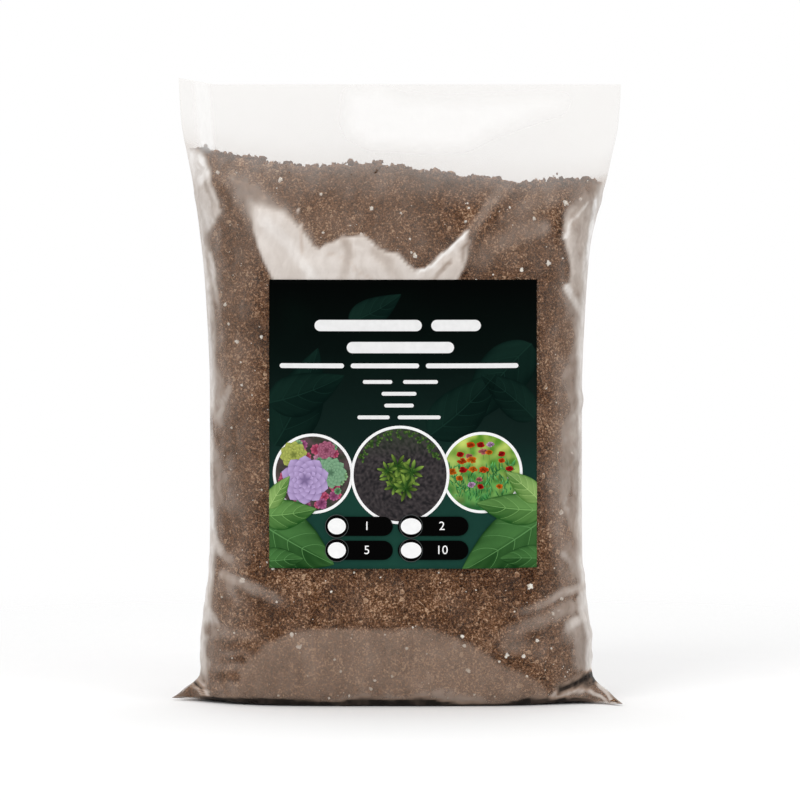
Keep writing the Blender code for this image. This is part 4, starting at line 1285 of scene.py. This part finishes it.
def build_label(paper):
    columns, rows = 61, 65
    u, v = np.meshgrid(np.linspace(0, 1, columns), np.linspace(0, LABEL_ASPECT, rows))
    u, v = u.ravel(), v.ravel()
    face = label_point(u, v, np.full(len(u), LABEL_LIFT + LABEL_THICKNESS))
    rear = label_point(u, v, np.full(len(u), LABEL_LIFT))
    quads = grid_faces(rows, columns)
    border = np.concatenate(
        (
            np.arange(columns),
            np.arange(1, rows) * columns + columns - 1,
            (rows - 1) * columns + np.arange(columns - 2, -1, -1),
            np.arange(rows - 2, 0, -1) * columns,
        )
    )
    beyond = np.roll(border, -1)
    count = len(u)
    rim = np.stack((border, border + count, beyond + count, beyond), -1)
    faces = np.concatenate((quads, quads[:, ::-1] + count, rim))
    data = mesh_from("label_sheet", np.concatenate((face, rear)), faces)
    layer = data.uv_layers.new(name="sheet")
    corner = np.zeros(len(data.loops), np.int32)
    data.loops.foreach_get("vertex_index", corner)
    place = np.stack((u, v / LABEL_ASPECT), -1)[corner % count]
    layer.data.foreach_set("uv", place.astype(np.float32).ravel())
    return piece("label_sheet", data, label_material(paper), ["label"])


class Print:
    """Collects flat coloured shapes in label widths, each on its own layer over the label."""

    def __init__(self):
        self.points, self.faces, self.colours = [], [], []
        self.count, self.layer = 0, 0

    def next_layer(self):
        self.layer += 1

    def add(self, u, v, quads, colour):
        """A mesh of places; what falls off the label is drawn in to its edge."""
        u = np.clip(u, 0.001, 0.999)
        v = np.clip(v, 0.001, LABEL_ASPECT - 0.001)
        lift = LABEL_LIFT + LABEL_THICKNESS + LAYER * (1 + self.layer)
        self.points.append(label_point(u, v, np.full(len(u), lift)))
        self.faces.append(np.asarray(quads) + self.count)
        colour = np.broadcast_to(np.asarray(colour, float), (len(u), 3))
        self.colours.append(np.concatenate((colour, np.ones((len(u), 1))), 1))
        self.count += len(u)

    def disc(self, u, v, radius, colour, stretch=1.0, rings=8, around=72):
        r = np.linspace(0.0, radius, rings + 1)
        a = np.arange(around) * 2 * np.pi / around
        rr, aa = np.meshgrid(r, a, indexing="ij")
        pu = (u + rr * np.cos(aa) * stretch).ravel()
        pv = (v + rr * np.sin(aa)).ravel()
        shade = colour(pu, pv) if callable(colour) else colour
        self.add(pu, pv, ring_faces(rings + 1, around), shade)

    def bar(self, u0, v0, u1, v1, colour):
        """A bar with round ends."""
        radius = 0.5 * (v1 - v0)
        a = np.linspace(0.5 * np.pi, 1.5 * np.pi, 13)
        left = np.stack((u0 + radius + radius * np.cos(a), v0 + radius + radius * np.sin(a)), -1)
        right = np.stack((u1 - radius - radius * np.cos(a), v0 + radius + radius * np.sin(a)), -1)
        t = np.linspace(0, 1, 14)[:, None, None]
        flat = (left[None] + t * (right - left)[None]).reshape(-1, 2)
        self.add(flat[:, 0], flat[:, 1], grid_faces(14, 13), colour)

    def line(self, path, width, colour):
        """A line of the print that tapers towards its end."""
        path = np.asarray(path, float)
        run = np.gradient(path, axis=0)
        run /= np.linalg.norm(run, axis=1, keepdims=True) + 1e-12
        across = np.stack((-run[:, 1], run[:, 0]), -1)
        half = 0.5 * width * np.linspace(1.0, 0.25, len(path))[:, None]
        flat = np.concatenate((path - half * across, path + half * across))
        count = len(path)
        i = np.arange(count - 1)
        quads = np.stack((i, i + 1, i + count + 1, i + count), -1)
        self.add(flat[:, 0], flat[:, 1], quads, colour)

    def leaf(self, u, v, length, width, angle, dark, light, curve=0.15, veins=6, sheen=0.5):
        """A pointed leaf from its stalk: puffed between its veins, which are lines of their own."""
        rows, columns = 44, 16
        s, t = np.meshgrid(np.linspace(0, 1, rows + 1), np.linspace(-1, 1, columns + 1), indexing="ij")
        s, t = s.ravel(), t.ravel()
        c, q = math.cos(angle), math.sin(angle)

        def place(s, t):
            half = 0.5 * width * np.clip(np.sin(np.pi * np.clip(s, 0, 1) ** 0.66), 0, 1) ** 0.86
            along = s * length
            across = t * half + curve * length * (s * s - s)
            return u + along * c - across * q, v + along * q + across * c

        phase = (s - 0.34 * np.abs(t) ** 1.2) * veins
        puff = 0.5 - 0.5 * np.cos(2 * np.pi * phase)
        side = np.where(t * math.cos(angle) > 0, 1.0, 0.0)
        tone = 0.22 + 0.30 * side + 0.16 * puff * (0.4 + 0.6 * np.abs(t)) + 0.14 * np.sin(5 * s + 1.5)
        tone = tone - 0.45 * np.abs(t) ** 8 + sheen * 0.30 * np.exp(-(((s - 0.42) / 0.22) ** 2)) * (1 - np.abs(t))
        tone = np.clip(tone, 0, 1)[:, None]
        pu, pv = place(s, t)
        self.add(pu, pv, grid_faces(rows + 1, columns + 1), np.array(dark) * (1 - tone) + np.array(light) * tone)
        self.next_layer()
        vein_colour = np.clip(np.array(light) * 1.02 + 0.03 * sheen, 0, 1)
        for k in range(1, veins):
            for way in (-1.0, 1.0):
                reach = np.linspace(0.0, 0.90, 9)
                start = (k - 0.15) / veins
                su, sv = place(start + 0.34 * reach**1.2 * (1 - 0.4 * start), way * reach)
                if start + 0.34 * 0.90 < 1.0:
                    self.line(np.stack((su, sv), -1), 0.0018 + 0.004 * width, vein_colour)
        s = np.linspace(0.0, 0.97, 18)
        mu, mv = place(s, np.zeros(18))
        self.line(np.stack((mu, mv), -1), 0.0026 + 0.014 * width, vein_colour)

    def petal(self, u, v, length, width, angle, dark, light, point=0.5, rows=8, columns=6):
        """A petal from its root: round for a low point value, with a drawn-out tip for a high one."""
        s, t = np.meshgrid(np.linspace(0, 1, rows + 1), np.linspace(-1, 1, columns + 1), indexing="ij")
        s, t = s.ravel(), t.ravel()
        tip = 0.30 + 0.55 * point
        widest = 1.0 / (1.0 + tip)
        half = 0.5 * width * s * (1.0 - s) ** tip / (widest * (1.0 - widest) ** tip)
        c, q = math.cos(angle), math.sin(angle)
        pu, pv = u + s * length * c - t * half * q, v + s * length * q + t * half * c
        tone = np.clip(-0.25 + 1.15 * s + 0.15 * t * q - 0.55 * np.abs(t) ** 3 * (1.25 - s), 0, 1)[:, None]
        self.add(pu, pv, grid_faces(rows + 1, columns + 1), np.array(dark) * (1 - tone) + np.array(light) * tone)

    def blossom(self, u, v, radius, dark, light, rings, petals, turn=0.0, point=0.5, rise=0.8):
        """Rings of petals, the inner ones smaller and lighter."""
        for k in range(rings):
            reach = radius * (1 - rise * k / rings)
            share = k / rings
            low = np.array(dark) * (1 - 0.5 * share) + np.array(light) * 0.4 * share
            for j in list(range(0, petals, 2)) + list(range(1, petals, 2)):
                angle = turn + (j + 0.5 * (k % 2)) * 2 * math.pi / petals
                self.petal(u, v, reach, 1.10 * reach * 2 * math.pi / petals, angle, low, light, point)
                if j == petals - 2:
                    self.layer += 0.5
            self.layer += 0.5


def build_print(rng, paper):
    ink = Print()
    white = (0.93, 0.93, 0.93)
    black = (0.0012, 0.0012, 0.0012)
    faint_leaves(ink)
    ink.layer = 5
    blank_lines(ink, white)
    for u, v, radius, scene, layer in (
        (0.164, 0.356, 0.150, flower_bed, 6),
        (0.794, 0.360, 0.152, meadow, 6),
        (0.489, 0.352, 0.184, seedling, 22),
    ):
        ink.layer = layer
        ink.disc(u, v, radius, white, rings=3)
        ink.next_layer()
        scene(ink, rng, u, v, radius - 0.0105)
    corner_leaves(ink)
    ink.layer = 42
    pills = ((0.210, 0.124, 0.252), (0.480, 0.124, 0.264), (0.210, 0.034, 0.252), (0.480, 0.034, 0.264))
    for u, v, width in pills:
        ink.bar(u, v, u + width, v + 0.072, black)
    spots = ((0.253, 0.160), (0.530, 0.160), (0.253, 0.070), (0.530, 0.070))
    for radius, colour, rings in ((0.0435, (0.10, 0.11, 0.11), 1), (0.0420, black, 1), (0.0300, white, 2)):
        ink.next_layer()
        for u, v in spots:
            wide = 1.0 if colour != white else 1.12 if u < 0.4 else 1.28
            ink.disc(u, v, radius, colour, stretch=wide, rings=rings)
    for text, u, v in (("1", 0.365, 0.160), ("2", 0.645, 0.160), ("5", 0.365, 0.070), ("10", 0.645, 0.070)):
        numeral(ink, text, u, v, 0.046, white)
    data = mesh_from(
        "label_print", np.concatenate(ink.points), np.concatenate(ink.faces), {"ink": np.concatenate(ink.colours)}
    )
    return piece("label_print", data, print_material(paper))


def faint_leaves(ink):
    """Large dim leaves in the ground of the print."""
    dim, less_dim = (0.0016, 0.0075, 0.0060), (0.0070, 0.026, 0.019)
    for u, v, length, width, angle, layer in (
        (0.02, 0.46, 0.40, 0.20, 1.15, 1),
        (0.00, 0.62, 0.30, 0.16, 0.35, 3),
        (0.98, 0.84, 0.40, 0.19, -2.25, 1),
        (0.30, 0.92, 0.22, 0.11, 0.5, 1),
        (0.60, 0.50, 0.34, 0.18, 0.75, 3),
        (0.99, 0.56, 0.26, 0.13, 2.45, 3),
    ):
        ink.layer = layer
        ink.leaf(u, v, length, width, angle, dim, less_dim, veins=5, sheen=0.0)


def blank_lines(ink, white):
    """Plain bars where a label carries its wording."""
    for v, height, spans in (
        (0.888, 0.042, ((0.17, 0.57), (0.605, 0.79))),
        (0.806, 0.042, ((0.29, 0.69),)),
        (0.750, 0.018, ((0.04, 0.28), (0.305, 0.56), (0.585, 0.93))),
        (0.692, 0.014, ((0.35, 0.46), (0.50, 0.63))),
        (0.648, 0.014, ((0.42, 0.55),)),
        (0.604, 0.014, ((0.43, 0.54),)),
        (0.560, 0.014, ((0.33, 0.45), (0.48, 0.64))),
    ):
        for u0, u1 in spans:
            ink.bar(u0, v, u1, v + height, tuple(0.90 * c for c in white))


def noisy(pu, pv, scale, seed):
    return np.array([noise.noise(Vector((a * scale, b * scale, seed))) for a, b in zip(pu, pv)])


def mixed(a, b, amount):
    amount = np.clip(amount, 0, 1)[:, None]
    return np.array(a) * (1 - amount) + np.array(b) * amount


def flower_bed(ink, rng, u, v, radius):
    """Mauve and green rosettes over a bed of small dark red ones."""

    def ground(pu, pv):
        return mixed((0.030, 0.040, 0.026), (0.10, 0.065, 0.07), 0.5 + noisy(pu, pv, 60, 1.5))

    ink.disc(u, v, radius, ground, rings=14)
    ink.next_layer()
    inks = ((0.30, 0.04, 0.09), (0.22, 0.05, 0.13), (0.08, 0.20, 0.09), (0.32, 0.14, 0.21), (0.14, 0.27, 0.12))
    for _ in range(70):
        a, r = rng.random() * 2 * np.pi, radius * 0.90 * math.sqrt(rng.random())
        colour = inks[rng.integers(len(inks))]
        light = tuple(min(1.0, 1.9 * c + 0.06) for c in colour)
        size = min(0.013 + 0.010 * rng.random(), radius - r)
        for j in range(8):
            turn = j * 2 * math.pi / 8 + a
            ink.petal(u + r * math.cos(a), v + r * math.sin(a), size, 0.72 * size, turn, colour, light, 0.8, 4, 2)
        ink.layer += 0.06
    for place_u, place_v, size, rings, petals, turn, dark, light in (
        (-0.072, 0.070, 0.052, 4, 10, 0.2, (0.05, 0.09, 0.015), (0.50, 0.54, 0.13)),
        (0.050, 0.088, 0.036, 3, 10, 0.5, (0.09, 0.012, 0.03), (0.46, 0.15, 0.24)),
        (0.066, 0.004, 0.060, 5, 12, 0.1, (0.012, 0.07, 0.035), (0.26, 0.46, 0.28)),
        (-0.030, -0.024, 0.092, 5, 10, 0.3, (0.07, 0.03, 0.15), (0.56, 0.43, 0.72)),
    ):
        ink.blossom(u + place_u, v + place_v, size, dark, light, rings, petals, turn, 0.75)


def seedling(ink, rng, u, v, radius):
    """A young plant with pointed leaves on dark, gritty soil."""

    def soil(pu, pv):
        tone = mixed((0.016, 0.015, 0.017), (0.066, 0.056, 0.058), 0.45 + 0.8 * noisy(pu, pv, 120, 0.5))
        up = np.clip((pv - v) / radius - 0.35, 0, 1)
        return tone * (1 - 0.7 * up[:, None]) + 0.7 * up[:, None] * np.array((0.035, 0.060, 0.026))

    ink.disc(u, v, radius, soil, rings=34, around=170)
    ink.next_layer()
    for _ in range(620):
        a, r = rng.random() * 2 * np.pi, radius * 0.97 * math.sqrt(rng.random())
        shade = rng.random() ** 3
        colour = tuple(c * (0.5 + 2.6 * shade) for c in (0.080, 0.068, 0.068))
        size = 0.0014 + 0.0020 * rng.random()
        ink.petal(u + r * math.cos(a), v + r * math.sin(a), size, size, a * 7, colour, colour, 0.5, 1, 1)
    for _ in range(90):
        a = np.pi * (0.12 + 0.76 * rng.random())
        r = radius * (0.84 + 0.12 * rng.random())
        reach = min(0.016, radius * 0.99 - r)
        turn = rng.random() * 2 * np.pi
        ink.petal(
            u + r * math.cos(a), v + r * math.sin(a), reach, 0.010, turn, (0.02, 0.06, 0.015), (0.14, 0.24, 0.05), 0.7, 3, 2
        )
    ink.next_layer()
    for k in range(11):
        a = 2.4 * k
        su, sv = u + 0.0165 * math.sqrt(k) * math.cos(a), v - 0.004 + 0.0165 * math.sqrt(k) * math.sin(a)
        reach = 0.040 + 0.012 * rng.random()
        for j in range(7):
            turn = j * 2 * math.pi / 7 + a + 0.3 * rng.random()
            shade = 0.55 + 0.75 * rng.random()
            dark = tuple(shade * c for c in (0.022, 0.070, 0.012))
            light = tuple(shade * c for c in (0.25, 0.38, 0.065))
            ink.petal(su, sv, reach * (0.8 + 0.3 * rng.random()), 0.30 * reach, turn, dark, light, 0.95, 6, 4)
            ink.layer += 0.08
        ink.layer += 0.2


def meadow(ink, rng, u, v, radius):
    """Orange and red flowers on thin stems in bright grass."""

    def field(pu, pv):
        up = np.clip(0.5 + 0.5 * (pv - v) / radius, 0, 1)[:, None]
        low = mixed((0.015, 0.10, 0.03), (0.07, 0.34, 0.09), 0.5 + 0.9 * noisy(pu, pv, 46, 2.5))
        high = mixed((0.10, 0.26, 0.02), (0.62, 0.72, 0.16), 0.5 + 1.1 * noisy(pu, pv, 30, 4.5))
        return low * (1 - up) + high * up

    ink.disc(u, v, radius, field, rings=24, around=110)
    ink.next_layer()
    for _ in range(190):
        a, r = -np.pi * (1.15 * rng.random() - 0.08), radius * 0.90 * math.sqrt(rng.random())
        shade = 0.5 + rng.random()
        dark = tuple(shade * c for c in (0.02, 0.13, 0.03))
        light = tuple(min(1.0, shade * c) for c in (0.16, 0.52, 0.16))
        reach = min(0.034, radius - r)
        ink.petal(
            u + r * math.cos(a), v + r * math.sin(a), reach, 0.0050, 1.57 + 0.5 * rng.normal(), dark, light, 0.9, 3, 2
        )
    ink.next_layer()
    inks = ((0.80, 0.09, 0.012), (0.86, 0.20, 0.015), (0.60, 0.015, 0.015), (0.74, 0.20, 0.20), (0.74, 0.42, 0.72))
    for row in range(7):
        for k in range(7):
            fu = u + radius * (-0.88 + 0.26 * k + 0.16 * rng.random())
            fv = v + radius * (0.66 - 0.22 * row + 0.12 * rng.random())
            if math.hypot(fu - u, fv - v) > 0.84 * radius or rng.random() < 0.10 * row:
                continue
            colour = inks[min(rng.integers(len(inks) + 3), 7) % 5]
            dark = tuple(0.45 * c for c in colour)
            size = 0.014 + 0.009 * rng.random()
            ink.line(((fu, fv), (fu + 0.002, fv - 0.03)), 0.0022, (0.05, 0.20, 0.04))
            ink.layer += 0.06
            for j in range(11):
                turn = j * 2 * math.pi / 11 + rng.random()
                reach = size * (1.0 - 0.40 * abs(math.sin(turn)))
                ink.petal(fu, fv, reach, 0.011, turn, dark, colour, 0.2, 4, 2)
            ink.layer += 0.06


def corner_leaves(ink):
    """Green leaves that come in over both lower corners."""
    deep = ((0.006, 0.036, 0.007), (0.085, 0.235, 0.065))
    mid = ((0.016, 0.080, 0.014), (0.17, 0.36, 0.10))
    fresh = ((0.060, 0.17, 0.030), (0.34, 0.52, 0.17))
    for u, v, length, width, angle, curve, (dark, light), layer in (
        (-0.03, 0.165, 0.31, 0.21, -0.50, 0.06, deep, 32),
        (-0.04, 0.020, 0.17, 0.10, 0.10, -0.06, deep, 34),
        (-0.03, 0.195, 0.21, 0.115, 0.14, 0.10, mid, 36),
        (0.00, 0.225, 0.145, 0.066, 1.00, -0.10, fresh, 38),
        (1.03, 0.185, 0.37, 0.21, 3.70, -0.06, deep, 32),
        (1.05, 0.030, 0.19, 0.10, 3.10, 0.08, deep, 34),
        (1.03, 0.215, 0.26, 0.12, 3.02, -0.10, mid, 36),
        (1.01, 0.250, 0.17, 0.085, 2.42, 0.10, fresh, 38),
    ):
        ink.layer = layer
        ink.leaf(u, v, length, width, angle, dark, light, curve=curve, veins=5)


def numeral(ink, text, u, v, height, colour):
    """A plain number in the built-in letter shapes, laid on the label."""
    curve = bpy.data.curves.new("numeral", "FONT")
    curve.body = text
    curve.align_x, curve.align_y = "CENTER", "CENTER"
    curve.size = height
    holder = bpy.data.objects.new("numeral", curve)
    bpy.context.scene.collection.objects.link(holder)
    bpy.context.view_layer.update()
    flat = bpy.data.meshes.new_from_object(holder.evaluated_get(bpy.context.evaluated_depsgraph_get()))
    places = np.array([p.co[:2] for p in flat.vertices])
    triangles = []
    flat.calc_loop_triangles()
    for triangle in flat.loop_triangles:
        a, b, c = triangle.vertices
        triangles.append((a, b, c, c))
    bpy.data.objects.remove(holder)
    bpy.data.curves.remove(curve)
    bpy.data.meshes.remove(flat)
    middle = len(places)
    split = []
    points = list(places)
    for a, b, c, _ in triangles:
        points.append((places[b] + places[c]) / 2)
        split += [(a, b, len(points) - 1, c)]
    points = np.array(points)
    ink.add(u + points[:, 0], v + points[:, 1], split, colour)


# Floor, light and camera


def build_stage():
    """A pale floor that fades into the white ground, with the bag's soft shadow on it."""
    material, tree = new_material("pale_floor")
    place = node(tree, "ShaderNodeTexCoord").outputs["Object"]
    away = node(tree, "ShaderNodeVectorMath", {0: place}, operation="LENGTH").outputs["Value"]
    fade = math_node(tree, "DIVIDE", math_node(tree, "SUBTRACT", away, 0.32), 0.45, clamp=True)
    mottle = node(tree, "ShaderNodeTexNoise", {"Vector": place, "Scale": 8.0}).outputs["Fac"]
    colour = ramp(tree, mottle, ((0.0, (0.955, 0.955, 0.955)), (1.0, (0.97, 0.97, 0.97))))
    surface = node(tree, "ShaderNodeBsdfPrincipled", {"Base Color": colour, "Roughness": 0.9, "IOR": 1.1})
    clear = node(tree, "ShaderNodeBsdfTransparent")
    shown = node(tree, "ShaderNodeMixShader", {0: fade, 1: surface.outputs[0], 2: clear.outputs[0]})
    finish_surface(tree, shown.outputs[0])
    around, rings = 64, 12
    r = np.linspace(0.0, 0.9, rings + 1)
    a = np.arange(around) * 2 * np.pi / around
    rr, aa = np.meshgrid(r, a, indexing="ij")
    points = np.stack(((rr * np.cos(aa)).ravel(), (rr * np.sin(aa)).ravel(), np.full(rr.size, -0.0002)), -1)
    data = mesh_from("floor", points, ring_faces(rings + 1, around))
    floor = bpy.data.objects.new("floor", data)
    data.materials.append(material)
    bpy.context.scene.collection.objects.link(floor)


def build_world():
    """Even white surroundings, a little dimmer than the white that the camera sees."""
    world = bpy.data.worlds.new("light_tent")
    bpy.context.scene.world = world
    world.use_nodes = True
    tree = world.node_tree
    tree.nodes.clear()
    rays = node(tree, "ShaderNodeLightPath")
    seen = math_node(tree, "MAXIMUM", rays.outputs["Is Camera Ray"], rays.outputs["Is Glossy Ray"])
    seen = math_node(tree, "MAXIMUM", seen, rays.outputs["Is Transmission Ray"])
    lit = node(tree, "ShaderNodeBackground", {"Color": (1.0, 1.0, 1.0, 1.0), "Strength": 0.68})
    white = node(tree, "ShaderNodeBackground", {"Color": (1.0, 1.0, 1.0, 1.0), "Strength": 1.0})
    shown = node(tree, "ShaderNodeMixShader", {0: seen, 1: lit.outputs[0], 2: white.outputs[0]})
    output = node(tree, "ShaderNodeOutputWorld")
    tree.links.new(shown.outputs[0], output.inputs["Surface"])


def area_lamp(name, place, aim, size, power):
    lamp = bpy.data.lights.new(name, "AREA")
    lamp.shape = "RECTANGLE"
    lamp.size, lamp.size_y = size
    lamp.energy = power
    holder = bpy.data.objects.new(name, lamp)
    holder.location = place
    holder.rotation_euler = (Vector(aim) - Vector(place)).to_track_quat("-Z", "Y").to_euler()
    bpy.context.scene.collection.objects.link(holder)


def build_lamps():
    middle = (0.0, 0.0, 0.2)
    area_lamp("key_lamp", (-0.9, -1.3, 1.5), middle, (0.9, 0.9), 10.0)
    area_lamp("fill_lamp", (1.3, -1.1, 0.9), middle, (0.8, 1.2), 5.0)
    area_lamp("top_lamp", (0.0, 0.2, 1.7), middle, (1.2, 0.9), 8.0)


CAMERA_DISTANCE = 2.6
CAMERA_ELEVATION = math.radians(3.0)
AIM_POINT = (2.7 * MM, 0.0, 201.0 * MM)
PHOTO_METRES_PER_PIXEL = 0.000667
PHOTO_PIXELS = 800
SENSOR_WIDTH = 36.0


def build_camera():
    camera = bpy.data.cameras.new("camera")
    camera.sensor_width = SENSOR_WIDTH
    camera.lens = SENSOR_WIDTH * CAMERA_DISTANCE / (PHOTO_METRES_PER_PIXEL * PHOTO_PIXELS)
    camera.clip_start, camera.clip_end = 0.05, 20.0
    holder = bpy.data.objects.new("camera", camera)
    back = Vector((0.0, -math.cos(CAMERA_ELEVATION), math.sin(CAMERA_ELEVATION)))
    holder.location = Vector(AIM_POINT) + CAMERA_DISTANCE * back
    holder.rotation_euler = (-back).to_track_quat("-Z", "Y").to_euler()
    bpy.context.scene.collection.objects.link(holder)
    bpy.context.scene.camera = holder


def main():
    bpy.context.scene.view_settings.view_transform = "Standard"
    rng = np.random.default_rng(41)
    earth = earth_group()
    paper = print_grain_group()
    build_fill(earth_material("loose_substrate", earth, lambda tree: 0.425, 760.0, 3.0, 0.20, 0.0010))
    crumb = earth_material("crumb", earth, lambda tree: attribute(tree, "tone"), 1000.0, 1.6, 0.10, 0.0004)
    build_crumbs(rng, crumb)
    build_rim_crumbs(rng, crumb)
    build_chips(rng, earth_material("bark_flake", earth, lambda tree: attribute(tree, "tone"), 1700.0, 1.2, 0.0, 0.0003))
    build_fibres(rng, earth_material("coir_fibre", earth, lambda tree: attribute(tree, "tone"), 900.0, 1.2, 0.0, 0.0001))
    build_perlite(rng, perlite_material())
    build_film()
    build_label(paper)
    build_print(rng, paper)
    build_stage()
    build_world()
    build_lamps()
    build_camera()


main()
